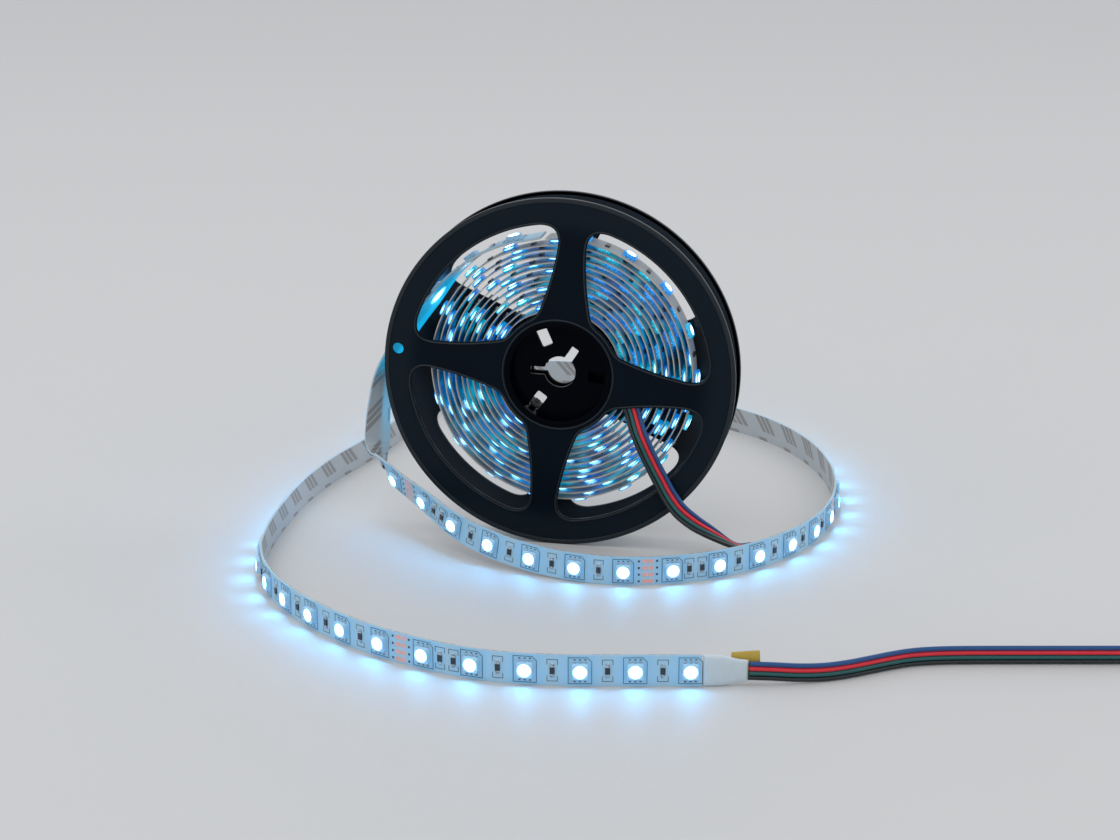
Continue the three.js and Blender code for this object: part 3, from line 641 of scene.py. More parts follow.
share = {0: [0.5], 1: [0.5], 2: [0.5], 3: [0.5], 4: [0.36, 0.64], 5: []}
resistor_places = np.array([
    led_pitch * (k + 0.5 + part) for k in range(led_count) for part in share[k % 6]])
margin = 3.0
resistor_places = resistor_places[
    (resistor_places > sleeve_cover + margin) & (resistor_places < run_length - margin)]
resistor_places = resistor_places[np.abs(resistor_places - joint) > margin]
chip_black = noisy_finish(
    "resistor_top", (0.015, 0.022, 0.030), (0.030, 0.040, 0.050), 0.8, 0.3, 0.08, 0.2)
bare_copper = noisy_finish("bare_copper_pads", (0.78, 0.36, 0.34), (0.86, 0.46, 0.42), 1.2, 0.35, 0.08, 0.2)
cut_spacing = 100
cut_places = np.arange(cut_spacing, run_length, cut_spacing)
cut_places = cut_places[np.abs(cut_places - joint) > cut_spacing / 2]
pad_rows = (-3.6, -1.2, 1.2, 3.6)
body = chamfered_block(1.5, 2.3, 0.55, 0.08)
caps = seated(chamfered_block(1.54, 0.62, 0.58, 0.12), [(0, -1.35), (0, 1.35)])
fillets = seated(chamfered_block(1.3, 0.8, 0.26, 0.2), [(0, -2.0), (0, 2.0)])
pads = seated(chamfered_block(1.75, 1.3, 0.06, 0.03), [(x, y) for y in pad_rows for x in (-1.0, 1.0)])
for name, shape, places, material, slot in (
    ("resistor_bodies", body, resistor_places, chip_black, "black_plastic"),
    ("resistor_end_caps", caps, resistor_places, solder, "tinned_copper"),
    ("resistor_solder", fillets, resistor_places, solder, "tinned_copper"),
    ("cut_pads", pads, cut_places, bare_copper, "tinned_copper"),
):
    piece = row_on_strip(name, shape, places, material, smooth=False)
    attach(piece, "root")


# Strip: printed outlines
# Thin dark ink on the white face: a box with one cut corner round each LED, brackets round each
# resistor, and a row of dots on both sides of the cut pads.

def ink_lines(segments, width=0.19, height=0.03):
    """Flat bars from (x0, y0, x1, y1) segments: the two ends, half a width to either side."""
    seg = np.asarray(segments, float)
    start, end = seg[:, :2], seg[:, 2:]
    direction = unit(end - start)
    side = np.stack([-direction[:, 1], direction[:, 0]], axis=1) * width / 2
    start, end = start - direction * width / 2, end + direction * width / 2
    flat = np.stack([start - side, end - side, end + side, start + side], axis=1)
    low = np.concatenate([flat, np.full((len(seg), 4, 1), -0.02)], axis=2)
    top = np.concatenate([flat, np.full((len(seg), 4, 1), height)], axis=2)
    return np.concatenate([low, top], axis=1).reshape(-1, 3), copies(skin(2, 4), 8, len(seg))


ink = noisy_finish("outline_ink", (0.010, 0.042, 0.075), (0.020, 0.065, 0.10), 1.5, 0.5, 0.05, 0.05)
left, right, low, high = -3.55, 3.55, -4.2, 4.2
cut_x, cut_y = 2.2, -2.9
# Short dark bars just outside each LED's terminal joints are painted shadow of the joints, drawn in the
# same ink
pad_shadow_half, pad_shadow_rows = 0.22, (-3.46, 3.46, -3.62, 3.62)
led_box = ink_lines([
    (left, low, cut_x, low), (cut_x, low, right, cut_y), (right, cut_y, right, high),
    (right, high, left, high), (left, high, left, low),
    *((x - pad_shadow_half, y, x + pad_shadow_half, y) for x in terminal_columns for y in pad_shadow_rows[:2]),
    *((x - pad_shadow_half, y, x + pad_shadow_half, y) for x in terminal_columns for y in pad_shadow_rows[2:])])
side, outer, inner = 1.6, 3.5, 1.9
chip_box = ink_lines([
    line for end in (-1, 1) for line in (
        (-side, end * outer, side, end * outer), (-side, end * outer, -side, end * inner),
        (side, end * outer, side, end * inner))])
dots = seated(chamfered_block(0.7, 0.7, 0.03, 0.02), [(x, y) for x in (-3.1, 3.1) for y in pad_rows])
for name, shape, places in (
    ("led_outlines", led_box, led_places),
    ("resistor_outlines", chip_box, resistor_places),
    ("pad_dots", dots, cut_places),
):
    outline = row_on_strip(name, shape, places, ink, smooth=False)
    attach(outline, "root")


# Sleeves and amber tape
# The soldered joints between strip and wires are covered by soft white sleeves, pressed flat.
# The outer one narrows towards the wires, and a tab of amber tape sticks out behind it.

def pressed_sleeve(half_widths, half_depths, rings=26, sides=32):
    """A flattened tube: at each ring the outline is a rounded rectangle whose half width and half
    depth are mixed between the given values; both ends are drawn in and closed."""
    straight, drawn_in = 0.44, 0.062
    t = np.linspace(0, 1, rings)
    past = ((np.abs(t - 0.5) - straight) / drawn_in).clip(0)
    ends = np.sqrt(np.clip(1 - past**2, 0.05, 1))
    wide = np.interp(t, np.linspace(0, 1, len(half_widths)), half_widths)
    deep = np.interp(t, np.linspace(0, 1, len(half_depths)), half_depths)
    angle = full_turn(sides)
    c, s = np.cos(angle), np.sin(angle)
    size = 1 / (np.abs(c) ** 4 + np.abs(s) ** 4) ** 0.25
    w = wide[:, None] * (c * size)[None, :]
    h = (deep * ends)[:, None] * (s * size)[None, :]
    return t, w, h


def tube_skin(name, w, h, centre, over, out, material):
    """Rings set square to their own directions, joined into a closed tube."""
    points = centre[:, None] + w[..., None] * over[:, None] + h[..., None] * out[:, None]
    return mesh_piece(name, points.reshape(-1, 3), skin(*w.shape), material)


sleeve_white = noisy_finish("sleeve_rubber", (0.50, 0.59, 0.64), (0.57, 0.65, 0.70), 3, 0.34, 0.07, 0.25)
sleeve_length, over_strip, over_wires = 13.6, 4.7, 0.3
t, w, h = pressed_sleeve([5.0, 5.0, 4.9, 4.3, 3.7, 3.45], [0.98, 1.0, 0.96, 0.9, 0.84, 0.8])
lead_start, lead_next = np.array(outer_route[0]), np.array(outer_route[1])
mouth = lead_start - unit(lead_next - lead_start) * over_wires
bottom = on_strip([over_strip, 0.0], 0, 0)
sleeve_line = read_at(
    t * sleeve_length, [0, over_strip, sleeve_length], [bottom[0], bottom[1], mouth])
sleeve_along = unit(np.gradient(sleeve_line, axis=0))
down = np.tile([0.0, 0.0, -1.0], (len(t), 1))
sleeve = tube_skin(
    "outer_sleeve", w, h, sleeve_line, down, unit(np.cross(down, sleeve_along)), sleeve_white)
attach(sleeve, "root")
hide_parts("outer_end_sleeve")

small_length = 4.5
t, w, h = pressed_sleeve([3.2, 3.2], [0.62, 0.62])
inner_start, inner_next = np.array(inner_route[0]), np.array(inner_route[1])
inner_down = unit(inner_next - inner_start)
sleeve_line = inner_start - inner_down * (over_wires + small_length * (1 - t[:, None]))
inner_side = np.tile(unit(np.cross([0, 1, 0], inner_down)), (len(t), 1))
small_sleeve = tube_skin(
    "inner_sleeve", w, h, sleeve_line, inner_side,
    np.tile([0.0, -1.0, 0.0], (len(t), 1)), sleeve_white)
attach(small_sleeve, "root")
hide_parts("inner_end_sleeve")


def tape_sheet(corners, thickness, back, turn, origin, curl=0.15, grid=14):
    """A thin four-cornered sheet that bows a little: corners are mixed in both directions over
    a grid, and the sheet's depth follows a cosine across it. Two such faces are joined."""
    u, v = np.meshgrid(np.linspace(0, 1, grid), np.linspace(0, 1, grid))
    c = np.asarray(corners, float)
    flat = (
        (1 - u)[..., None] * (1 - v)[..., None] * c[3] + u[..., None] * (1 - v)[..., None] * c[2]
        + u[..., None] * v[..., None] * c[1] + (1 - u)[..., None] * v[..., None] * c[0]
    )
    x, z = flat[..., 0], flat[..., 1]
    bow = curl * (1 - np.cos(2 * math.pi * u)) / 4
    cos, sin = math.cos(turn), math.sin(turn)
    points = [
        np.stack([origin[0] + x * cos - y * sin, origin[1] + x * sin + y * cos, z], -1).reshape(-1, 3)
        for y in (back + bow, back + thickness + bow)
    ]
    n = grid * grid
    i, j = np.meshgrid(np.arange(grid - 1), np.arange(grid - 1), indexing="ij")
    a = (i * grid + j).ravel()
    front = np.stack([a, a + 1, a + grid + 1, a + grid], axis=1)
    edge = np.concatenate([
        np.arange(grid), np.arange(2 * grid - 1, n, grid),
        np.arange(n - 2, n - grid - 1, -1), np.arange(n - 2 * grid, 0, -grid)])
    ahead = np.roll(edge, -1)
    rim = np.stack([ahead, edge, edge + n, ahead + n], axis=1)
    return np.concatenate(points), np.vstack([front, front[:, ::-1] + n, rim]).tolist()


amber_tape = noisy_finish("amber_tape", (0.60, 0.42, 0.06), (0.70, 0.50, 0.09), 5, 0.25, 0.06, 0.1)
amber_tape.node_tree.nodes["Principled BSDF"].inputs["Transmission Weight"].default_value = 0.25
turn = math.atan2(lead_next[1] - lead_start[1], lead_next[0] - lead_start[0])
tape_thickness, behind_lead = 0.12, 1.42
tape_corners = [(-5.2, 10.3), (3.4, 10.6), (3.9, 2.2), (-5.2, 2.2)]
points, faces = tape_sheet(tape_corners, tape_thickness, behind_lead, turn, lead_start)
tab = mesh_piece("amber_tab", points, faces, amber_tape)
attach(tab, "root")
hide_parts("tape_tab")


# Roll
# The strip still wound on the reel: some twelve turns of the same board with its LEDs outwards,
# each turn lying on the LEDs of the one before. Seen edge-on, the lit LEDs glow between turns.

reel_radius = (front_high.x - front_low.x) * 500
roll_back = 5.7
roll_front = roll_back - strip_width
roll_inner, roll_outer, turn_pitch, turn_body = 21.5, 48.6, 2.1, 1.15
roll_end = math.radians(96)
roll_turns = (roll_outer - turn_body - roll_inner) / turn_pitch
roll_start = roll_end - roll_turns * 2 * math.pi
random = np.random.default_rng(7)
wave_sizes = random.uniform(-0.10, 0.10, 8)
wave_shifts = random.uniform(0, 2 * math.pi, 8)
kink_count = 330
kink_angles = np.linspace(roll_start, roll_end, kink_count)
kinks = random.uniform(-0.11, 0.11, kink_count)


def turn_radius(angle):
    """Inner radius of a turn: it grows by one pitch a turn, with a few gentle waves and small
    kinks where the stiff LEDs end, which fade out towards both ends of the roll."""
    angle = np.asarray(angle, float)
    steady = roll_inner + turn_pitch * (angle - roll_start) / (2 * math.pi)
    swing = sum(
        size * np.sin(angle * (k + 1.37) + shift)
        for k, (size, shift) in enumerate(zip(wave_sizes, wave_shifts)))
    faded = 1.5
    ends = np.clip((roll_end - angle) / faded, 0, 1) * np.clip((angle - roll_start) / faded, 0, 1)
    return steady + (swing * 0.7 + np.interp(angle, kink_angles, kinks)) * ends


def turn_shift(angle):
    """How far a turn's edge stands forward of the others, up to a few tenths."""
    return 0.16 * np.sin(np.asarray(angle) * 0.161 + 1.0) - 0.05


def set_up(x, depth, z):
    """Points of the reel: sideways and up from its axis, and back from its middle plane."""
    return np.stack([x, depth, reel_radius + z], axis=-1)


def on_roll(angle, out, depth):
    """A place in the roll: an angle about the axis, a distance out from the turn's inner face
    and a depth from the roll's front edge."""
    angle, out, depth = np.broadcast_arrays(angle, out, depth)
    radius = turn_radius(angle) + out
    return set_up(radius * np.cos(angle), roll_front + depth + turn_shift(angle), radius * np.sin(angle))


def rolled_board_finish():
    """The white board seen edge-on: pale grey edges, and the blue light of the LEDs between the
    turns painted on its faces, as a blue tint and a glow, from half a millimetre behind the front
    edges on and stronger after a noise. The outermost turn, marked with a one, has nothing over
    it and gets less of the painted light."""
    material = noisy_finish("rolled_board", (0.36, 0.355, 0.34), (0.52, 0.51, 0.48), 3, 0.5, 0.08, 0.1)
    number, fade = node_maths(material)
    place = wired(material, "TexCoord", {})["Object"]
    depth = wired(material, "SeparateXYZ", {"Vector": place})["Y"]
    front = reel_foot[1] + roll_front / 1000
    outermost = wired(material, "Attribute", {}, attribute_name="mark")["Fac"]
    between = fade(depth, front + 0.0005, front + 0.0022)
    deep = number("MULTIPLY", between, fade(outermost, 0.0, 1.0, 1.0, 0.25))
    # Painted LED light: a blue tint over the board's faces, and a glow in patches after a noise
    tint_over(material, (0.03, 0.17, 0.30), deep)
    lit = fade(noise(material, 7, 3), 0.38, 0.66, 0.04, 0.8)
    tint = ramp(material, noise(material, 11), (0.4, (0.0, 0.10, 0.42)), (0.62, (0.0, 0.34, 0.46)))
    glow(material, tint, number("MULTIPLY", deep, lit))
    return material


board_depth, band_front, band_back = 0.36, 0.15, 9.9
angles = np.linspace(roll_start, roll_end, 2400)
band = on_roll(
    angles[:, None], np.array([0.0, board_depth, board_depth, 0.0])[None, :],
    np.array([band_front, band_front, band_back, band_back])[None, :])
rolled_board = rolled_board_finish()
roll_band = mesh_piece(
    "rolled_band", band.reshape(-1, 3), skin(len(angles), 4), rolled_board, smooth=False,
    marks=np.repeat(angles > roll_end - 2 * math.pi, 4))
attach(roll_band, "root")
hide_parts("wound_strip")

first_led, last_gap = 4.0, 3.0
arc = np.concatenate([[0], np.cumsum(np.diff(angles) * (turn_radius(angles[1:]) + 0.3))])
rolled_leds = np.interp(np.arange(first_led, arc[-1] - last_gap, led_pitch), arc, angles)
block_half, block_top = 2.42, 1.5
block = lofted([
    (square_ring(block_half, square, 16), 0.0), (square_ring(block_half, square, 16), 1.35),
    (square_ring(2.1, square, 16), block_top)])


def seat_on_roll(shape, at_angles, lift):
    """Rigid small parts on the wound turns: x along the turn, y into the roll's depth, z out."""
    angle = np.asarray(at_angles)[:, None]
    radius = turn_radius(angle) + lift + shape[None, :, 2]
    cos, sin = np.cos(angle), np.sin(angle)
    x = radius * cos - shape[None, :, 0] * sin
    z = radius * sin + shape[None, :, 0] * cos
    y = (roll_front + roll_back) / 2 + turn_shift(angle) + shape[None, :, 1]
    return set_up(x, y, z)


def row_on_roll(name, shape, at_angles, material, **look):
    """One piece made of a rigid shape, its points and faces, on the board at each angle."""
    points, faces = shape
    return mesh_piece(
        name, seat_on_roll(points, at_angles, board_depth).reshape(-1, 3),
        copies(faces, len(points), len(at_angles)), material, **look)


def rolled_glow(name, core_strength, glint_strength):
    """The side of a lit LED between two turns: each has its own tint from deep blue over teal to
    cyan, after the mark that every copy carries. A white streak runs along it near its open
    face, after the UV map, and painted glints, fine bright spots, follow a noise."""
    material = noisy_finish(name, (0.02, 0.16, 0.30), (0.05, 0.26, 0.42), 2, 0.3, 0.05, 0.05)
    number, fade = node_maths(material)
    mark = wired(material, "Attribute", {}, attribute_name="mark")["Fac"]
    own_tint = ramp(
        material, mark, (0.0, (0.0, 0.07, 0.42)), (0.5, (0.0, 0.22, 0.78)), (1.0, (0.0, 0.50, 0.62)))
    along, height = along_and_across(material)
    aside = number("POWER", number("MULTIPLY", along, 0.78), 2)
    above = number("POWER", number("DIVIDE", number("SUBTRACT", height, 0.62), 0.34), 2)
    core = fade(number("ADD", aside, above), 0.0, 0.62, 1.0, 0.0)
    whiter = number("MULTIPLY", core, min(core_strength / 4, 1.0))
    painted_glints = fade(noise(material, 0.55), 0.56, 0.66, 0.0, glint_strength)
    level = number("ADD", 0.60, number("MULTIPLY", core, core_strength))
    glow(material, mixed(material, whiter, own_tint, (0.30, 0.80, 1.0, 1)), number("ADD", level, painted_glints))
    return material


# LEDs from 12 to 86 degrees round the axis get a painted shade: a dull copy of the same glow with a weak
# core and stronger painted glints
from_axis = np.degrees(rolled_leds) % 360
shaded = (from_axis > 12) & (from_axis < 86)
tints = random.uniform(0, 1, len(rolled_leds))
for label, chosen, finish in (
    ("bright", ~shaded, rolled_glow("rolled_glow_bright", 3.4, 0.5)),
    ("dull", shaded, rolled_glow("rolled_glow_painted_shade", 0.3, 1.7)),
):
    blocks = row_on_roll(
        f"rolled_led_packages_{label}", block, rolled_leds[chosen], finish, smooth=False,
        uv=np.tile(block[0][:, [0, 2]] / [block_half, block_top], (chosen.sum(), 1)),
        marks=np.repeat(tints[chosen], len(block[0])))
    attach(blocks, "root")

feet = seated(
    chamfered_block(0.86, 0.9, 0.34, 0.16), [(x, y) for y in (-2.85, 2.85) for x in terminal_columns])
chip = chamfered_block(1.5, 3.2, 0.6, 0.08)
for name, shape, places, material, slot in (
    ("rolled_solder_joints", feet, rolled_leds, solder, "tinned_copper"),
    ("rolled_resistors", chip, (rolled_leds[:-1] + rolled_leds[1:]) / 2, chip_black, "black_plastic"),
):
    piece = row_on_roll(name, shape, places, material, smooth=False)
    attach(piece, "root")
window = lofted([
    (square_ring(1.9, circle, 16), 1.44), (square_ring(1.9, circle, 16), 1.53),
    (square_ring(1.2, circle, 16), 1.56)])
rolled_resin = glow_finish("rolled_resin", (0.55, 0.85, 1.0), (0.1, 0.5, 1.0), 6.0, 2.0)
resin_edge = 1.95
resin_faces = row_on_roll(
    "rolled_led_lenses", window, rolled_leds, rolled_resin,
    uv=np.tile(window[0][:, :2] / resin_edge, (len(rolled_leds), 1)))
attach(resin_faces, "root")


# Reel
# Two black halves moulded in satin plastic and snapped together through the hub. Each is a flange
# with four windows and four spokes, a rim lip, half of the barrel and a hub floor with the bore.

face, plate_back, lip_face = 7.15, 6.0, 7.5
rim_width, window_inner, corner, tight_corner = 9.2, 21.8, 7.5, 2.2
window_radius = reel_radius - rim_width
first_spoke = math.radians(83.6)
hub_radius, hub_inner = 19.0, 17.0


def round_the_axis(radius, angle):
    """Flat points from a radius and an angle about the reel's axis."""
    radius, angle = np.broadcast_arrays(np.asarray(radius, float), np.asarray(angle, float))
    return np.stack([radius * np.cos(angle), radius * np.sin(angle)], axis=-1)


def soft_corner(a, b, c, count=10):
    """A quadratic curve from a to c that leans towards b."""
    t = np.linspace(0, 1, count)[:, None]
    return (1 - t) ** 2 * a + 2 * t * (1 - t) * b + t**2 * c


def window_outline(first, last):
    """A window between two sides, each an angle that depends on the radius: arcs at the rim and
    round the hub, joined to the sides by soft corners."""
    out, low = window_radius, window_inner
    wide, tight = out - corner, low + tight_corner
    down = np.linspace(wide, tight, 22)
    a0, a1 = first(out) + corner / out, last(out) - corner / out
    middle = (first(low) + last(low)) / 2
    b0, b1 = (first(low) + middle) / 2, (last(low) + middle) / 2

    def bend(*places):
        return soft_corner(*(round_the_axis(radius, angle) for radius, angle in places))

    return np.vstack([
        bend((wide, first(wide)), (out, first(out)), (out, a0)),
        round_the_axis(out, np.linspace(a0, a1, 40))[1:-1],
        bend((out, a1), (out, last(out)), (wide, last(wide))),
        round_the_axis(down, last(down))[1:-1],
        bend((tight, last(tight)), (low, last(low)), (low, b1)),
        round_the_axis(low, np.linspace(b1, b0, 12))[1:-1],
        bend((low, b0), (low, first(low)), (tight, first(tight))),
        round_the_axis(down[::-1], first(down[::-1]))[1:-1],
    ])


spoke_waist, spoke_flare = 9.6, 9.8


def spoke_side(radius):
    """Half the angle that a front spoke takes: narrow at the rim, and wider towards the hub
    by the flare times a power of the share of the way inwards."""
    inward = np.clip((window_radius - radius) / (window_radius - window_inner), 0, None)
    return np.arcsin((spoke_waist + spoke_flare * inward**2.3) / 2 / radius)


front_windows = [
    window_outline(
        lambda r, s=spoke: s + spoke_side(np.asarray(r, float)),
        lambda r, s=spoke: s + math.pi / 2 - spoke_side(np.asarray(r, float)))
    for spoke in first_spoke + np.arange(4) * math.pi / 2
]
rear_windows = []
blade, narrow_edge, blade_edge = 9.7, math.radians(7.5), math.radians(54.5)
for spoke in (first_spoke, first_spoke + math.pi):
    for side in (1, -1):
        near = spoke + side * narrow_edge

        def narrow_side(r, near=near):
            return near + 0 * np.asarray(r, float)

        def blade_side(r, near=near, side=side):
            lean = np.arcsin(blade / window_radius) - np.arcsin(blade / np.asarray(r, float))
            return near + side * (blade_edge + lean)

        pair = (narrow_side, blade_side) if side > 0 else (blade_side, narrow_side)
        rear_windows.append(window_outline(*pair))


def flat_moulding(name, outline, holes, front, back, edge, material):
    """A flat plate in the reel's plane with rounded edges: the outline and the holes are filled,
    given thickness, and every edge is rounded by the same radius."""
    flat = bpy.data.curves.new(name, "CURVE")
    flat.dimensions = "2D"
    flat.fill_mode = "BOTH"
    flat.extrude = (back - front) / 2000 - edge / 1000
    flat.bevel_depth = edge / 1000
    flat.bevel_resolution = 2
    flat.offset = -edge / 1000
    for loop in [outline, *holes]:
        spline = flat.splines.new("POLY")
        spline.points.add(len(loop) - 1)
        flat_points = [np.asarray(loop) / 1000, np.zeros(len(loop)), np.ones(len(loop))]
        spline.points.foreach_set("co", np.column_stack(flat_points).ravel())
        spline.use_cyclic_u = True
    carrier = placed(name, flat)
    bpy.context.view_layer.update()
    mesh = bpy.data.meshes.new_from_object(
        carrier.evaluated_get(bpy.context.evaluated_depsgraph_get()))
    bpy.data.objects.remove(carrier)
    points = np.zeros(len(mesh.vertices) * 3)
    mesh.vertices.foreach_get("co", points)
    points = points.reshape(-1, 3)
    middle = (front + back) / 2000
    turned = np.stack([points[:, 0], middle - points[:, 2], reel_radius / 1000 + points[:, 1]], axis=1)
    mesh.vertices.foreach_set("co", (turned + reel_foot).ravel())
    mesh.materials.clear()
    mesh.materials.append(material)
    mesh.name = name
    work = bmesh.new()
    work.from_mesh(mesh)
    bmesh.ops.remove_doubles(work, verts=work.verts, dist=1e-6)
    bmesh.ops.dissolve_degenerate(work, edges=work.edges, dist=1e-7)
    bmesh.ops.recalc_face_normals(work, faces=work.faces)
    work.to_mesh(mesh)
    work.free()
    mesh.update()
    return placed(name, mesh)


def turned_ring(name, profile, material, facets=180):
    """A profile of radius and depth points, closed, turned once round the reel's axis."""
    angle, radius, depth = np.broadcast_arrays(full_turn(facets)[:, None], *profile.T)
    rings = set_up(radius * np.cos(angle), depth, radius * np.sin(angle))
    return mesh_piece(
        name, rings.reshape(-1, 3), skin(facets, len(profile), closed=True), material)


def rounded_box(r0, r1, y0, y1, edge, steps=4):
    """The outline of a rectangle between two radii and two depths, with round corners."""
    turn = np.linspace(0, math.pi / 2, steps + 1)
    loops = []
    for cx, cy, start in ((r1 - edge, y1 - edge, 0), (r0 + edge, y1 - edge, 1),
                          (r0 + edge, y0 + edge, 2), (r1 - edge, y0 + edge, 3)):
        a = turn + start * math.pi / 2
        loops.append(np.column_stack([cx + edge * np.cos(a), cy + edge * np.sin(a)]))
    return np.vstack(loops)[::-1]


bore_radius, keyway_reach, keyway_width = 5.6, 10.4, 2.9


def bore_outline(count=240):
    """The bore with two keyways: at each angle the larger of the bore's radius and the keyway's
    straight sides or end."""
    angle = full_turn(count)
    radius = np.full(count, bore_radius)
    for at in (math.radians(57), math.radians(179)):
        off = angle - at
        ahead = np.cos(off) > 0.05
        end = keyway_reach / np.where(ahead, np.cos(off), 1)
        reach = np.minimum(end, keyway_width / 2 / np.maximum(np.abs(np.sin(off)), 1e-3))
        radius = np.where(ahead, np.maximum(radius, reach), radius)
    return round_the_axis(radius, angle)


def slot_outline(at, inner, outer, width, corner_radius=0.7):
    """A rounded rectangle that points along a radius of the reel: it is laid out along the
    first axis and turned by its angle."""
    flat = rounded_box(inner, outer, -width / 2, width / 2, corner_radius, steps=5)[::-1]
    cos, sin = math.cos(at), math.sin(at)
    return np.column_stack([flat[:, 0] * cos - flat[:, 1] * sin, flat[:, 0] * sin + flat[:, 1] * cos])


def black_plastic(name, colour, other, roughness, shine, rim=None):
    """Black moulded plastic of a given shine. With a rim colour, a painted sheen makes it paler
    from the windows' outer ends on, after the distance from the reel's axis."""
    material = noisy_finish(name, colour, other, 9, roughness, 0.05, 0.10)
    feed(material.node_tree.nodes["Principled BSDF"], {"Specular IOR Level": shine})
    if rim:
        _, fade = node_maths(material)
        place = wired(material, "TexCoord", {})["Object"]
        axis = reel_foot + np.array([0, 0, reel_radius / 1000])
        off = wired(material, "VectorMath", {0: place, 1: axis}, operation="SUBTRACT")["Vector"]
        flat = wired(material, "VectorMath", {0: off, 1: (1, 0, 1)}, operation="MULTIPLY")["Vector"]
        length = wired(material, "VectorMath", {0: flat}, operation="LENGTH")["Value"]
        # Painted sheen: the colour grows paler towards the rim
        rim_starts, rim_full = 0.048, 0.057
        tint_over(material, rim, fade(length, rim_starts, rim_full))
    return material


def bead(name, outlines, depth, material, away=0.6, radius=0.3, sides=10):
    """A thin raised line round each window: the window's outline pushed away from it, with a
    circle carried along."""
    tubes, faces, count = [], [], 0
    for loop in outlines:
        loop = loop[np.linalg.norm(loop - np.roll(loop, 1, axis=0), axis=1) > 1e-6]
        along = unit(np.roll(loop, -1, axis=0) - np.roll(loop, 1, axis=0))
        area = np.sum(loop[:, 0] * np.roll(loop[:, 1], -1) - loop[:, 1] * np.roll(loop[:, 0], -1))
        over = np.stack([along[:, 1], -along[:, 0]], axis=1) * math.copysign(1, area)
        line = loop + over * away
        centre = set_up(line[:, 0], np.full(len(line), depth), line[:, 1])
        along, over = (np.stack([v[:, 0], np.zeros(len(v)), v[:, 1]], axis=1) for v in (along, over))
        tubes.append(round_wire(centre, along, over, radius, sides).reshape(-1, 3))
        faces += skin(len(loop), sides, count, closed=True)
        count += len(tubes[-1])
    return mesh_piece(name, np.vstack(tubes), faces, material)


satin_black = black_plastic(
    "satin_black_plastic", (0.0006, 0.0034, 0.0078), (0.0012, 0.0052, 0.0110), 0.36, 0.07,
    rim=(0.0062, 0.0118, 0.0185))
# Beads and rim lips: the same black plastic made paler, a painted highlight
bead_highlight_black = black_plastic("bead_plastic_painted_highlight", (0.006, 0.012, 0.018), (0.010, 0.017, 0.024), 0.30, 0.32)
# The rear half: the same black made paler, with a still paler rim, as painted light in the shadowed gap
# between the flanges
rear_black = black_plastic(
    "rear_black_plastic", (0.0030, 0.0060, 0.0100), (0.0045, 0.0080, 0.0125), 0.40, 0.20,
    rim=(0.0200, 0.0280, 0.0380))
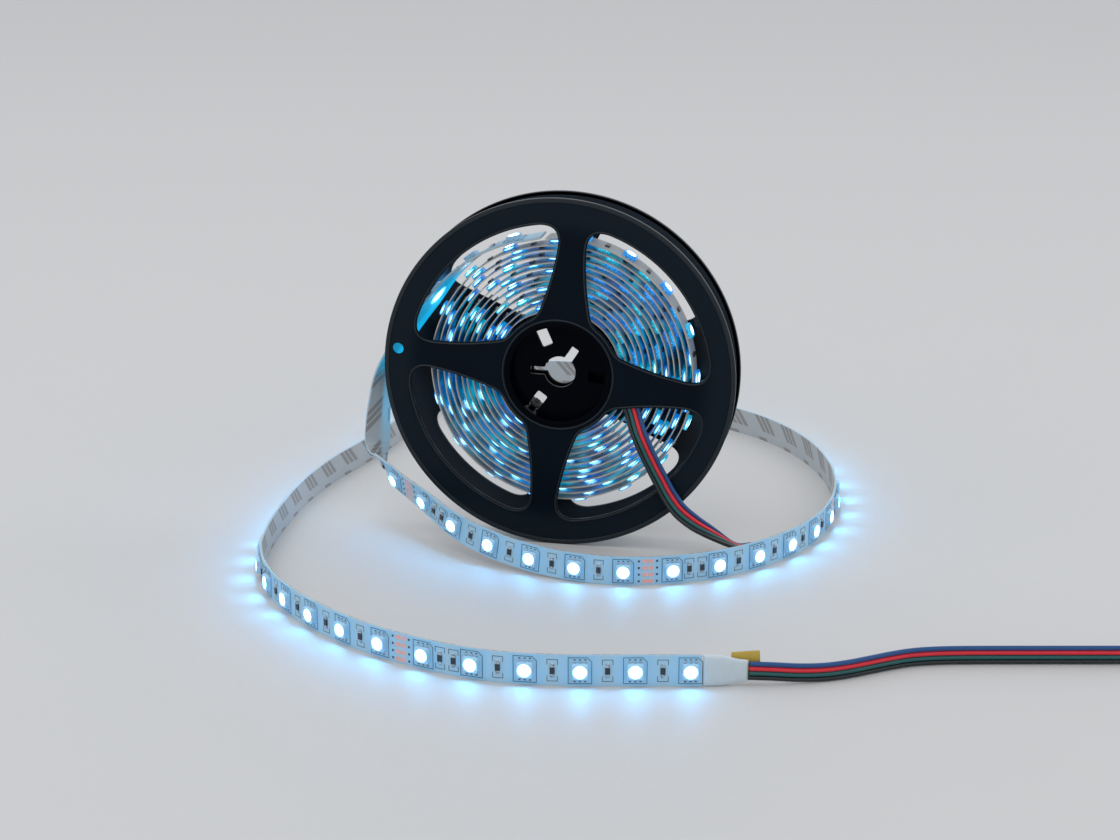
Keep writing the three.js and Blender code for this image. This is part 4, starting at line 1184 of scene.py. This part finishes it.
# Hub barrel, floors and hooks: the same black made darker, a painted shade in the recess
hub_black = black_plastic(
    "hub_black_plastic", (0.0003, 0.0010, 0.0026), (0.0006, 0.0016, 0.0036), 0.2, 0.03)
snap_angles = [math.radians(a) for a in (114, 234, 354)]
disc_edge = round_the_axis(reel_radius - 0.02, full_turn(240))
lead_hole_at = round_the_axis(reel_radius - rim_width / 2, first_spoke + math.pi / 2)
lead_hole_radius = 2.0
lead_hole = lead_hole_at + round_the_axis(lead_hole_radius, full_turn(36))
hub_ring = round_the_axis(hub_radius, full_turn(160))
hub_hole = round_the_axis(hub_inner + 0.8, full_turn(120))
floor_edge = round_the_axis(hub_inner + 0.5, full_turn(120))
lip_width, soft_edge, snap_outer = 1.6, 0.3, 16.9
barrel_gap, floor_inner, floor_outer = 0.15, 1.8, 3.3
for label, windows, direction, snaps, snap_width, snap_inner, plastic in (
    ("front", front_windows, -1, snap_angles, 4.0, 10.2, satin_black),
    ("rear", rear_windows, 1, snap_angles[:2], 8.0, 9.5, rear_black),
):
    plate_span, lip_span, barrel_span, floor_span = (
        sorted((direction * inner, direction * outer)) for inner, outer in (
            (plate_back, face), (plate_back, lip_face), (barrel_gap, lip_face), (floor_inner, floor_outer)))
    flange = flat_moulding(
        f"{label}_plate", disc_edge, [*windows, lead_hole, hub_hole], *plate_span, 0.22, plastic)
    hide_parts(f"{label}_flange")
    lip_profile = rounded_box(reel_radius - lip_width, reel_radius, *lip_span, soft_edge)
    lip = turned_ring(f"{label}_rim_lip", lip_profile, bead_highlight_black)
    barrel_profile = rounded_box(hub_inner, hub_radius, *barrel_span, soft_edge)
    barrel = turned_ring(f"{label}_barrel", barrel_profile, hub_black)
    slots = [slot_outline(at, snap_inner, snap_outer, snap_width) for at in snaps]
    hub_floor = flat_moulding(
        f"{label}_hub_floor", floor_edge, [bore_outline(), *slots], *floor_span, 0.2, hub_black)
    beads = bead(f"{label}_beads", [*windows, hub_ring], direction * face, bead_highlight_black)
    for piece in (flange, lip, barrel, hub_floor, beads):
        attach(piece, "root")

hook_inner, hook_width = 15.8, 2.2
for at in snap_angles[1:]:
    for name, outer, front in (("hook_root", 17.5, 0.6), ("hook_tongue", 16.7, -3.7)):
        outline = slot_outline(at, hook_inner, outer, hook_width, 0.3)
        piece = flat_moulding(
            f"{name}_{round(math.degrees(at))}", outline, [], front, 5.0, 0.12, hub_black)
        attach(piece, "root")


# Floor, light and world
# The set is one sheet of smooth pale grey paper with a wide soft lamp above it, a weak lamp at
# the side and a little light all round.

floor_z = cad_box[0][2]
half_sheet = 4.0
sheet = bpy.data.meshes.new("floor")
sheet.from_pydata(
    [(x * half_sheet, y * half_sheet, floor_z) for x, y in ((-1, -1), (1, -1), (1, 1), (-1, 1))],
    [], [(0, 1, 2, 3)])
sheet.materials.append(noisy_finish(
    "grey_sheet", (0.545, 0.55, 0.555), (0.555, 0.56, 0.565), 60, 0.6, 0.05, 0.0))
floor = placed("floor", sheet)
floor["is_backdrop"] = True

world = bpy.data.worlds.new("world")
world.use_nodes = True
feed(world.node_tree.nodes["Background"], {"Color": (0.95, 0.962, 0.985, 1), "Strength": 0.88})
bpy.context.scene.world = world

for name, at, size, power, aim in (
    ("wide_lamp", [-500, -250, 1700], 1.5, 7, [-250, -50, 0]),
    ("side_lamp", [1500, 500, 900], 0.9, 3, [0, 0, 60]),
):
    lamp_data = bpy.data.lights.new(name, "AREA")
    lamp_data.shape = "DISK"
    lamp_data.size = size
    lamp_data.energy = power
    lamp = placed(name, lamp_data)
    lamp.location = from_foot(at)
    lamp.rotation_euler = (Vector(aim) - Vector(at)).to_track_quat("-Z", "Y").to_euler()

bpy.context.scene.view_settings.view_transform = "Standard"

low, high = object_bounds()
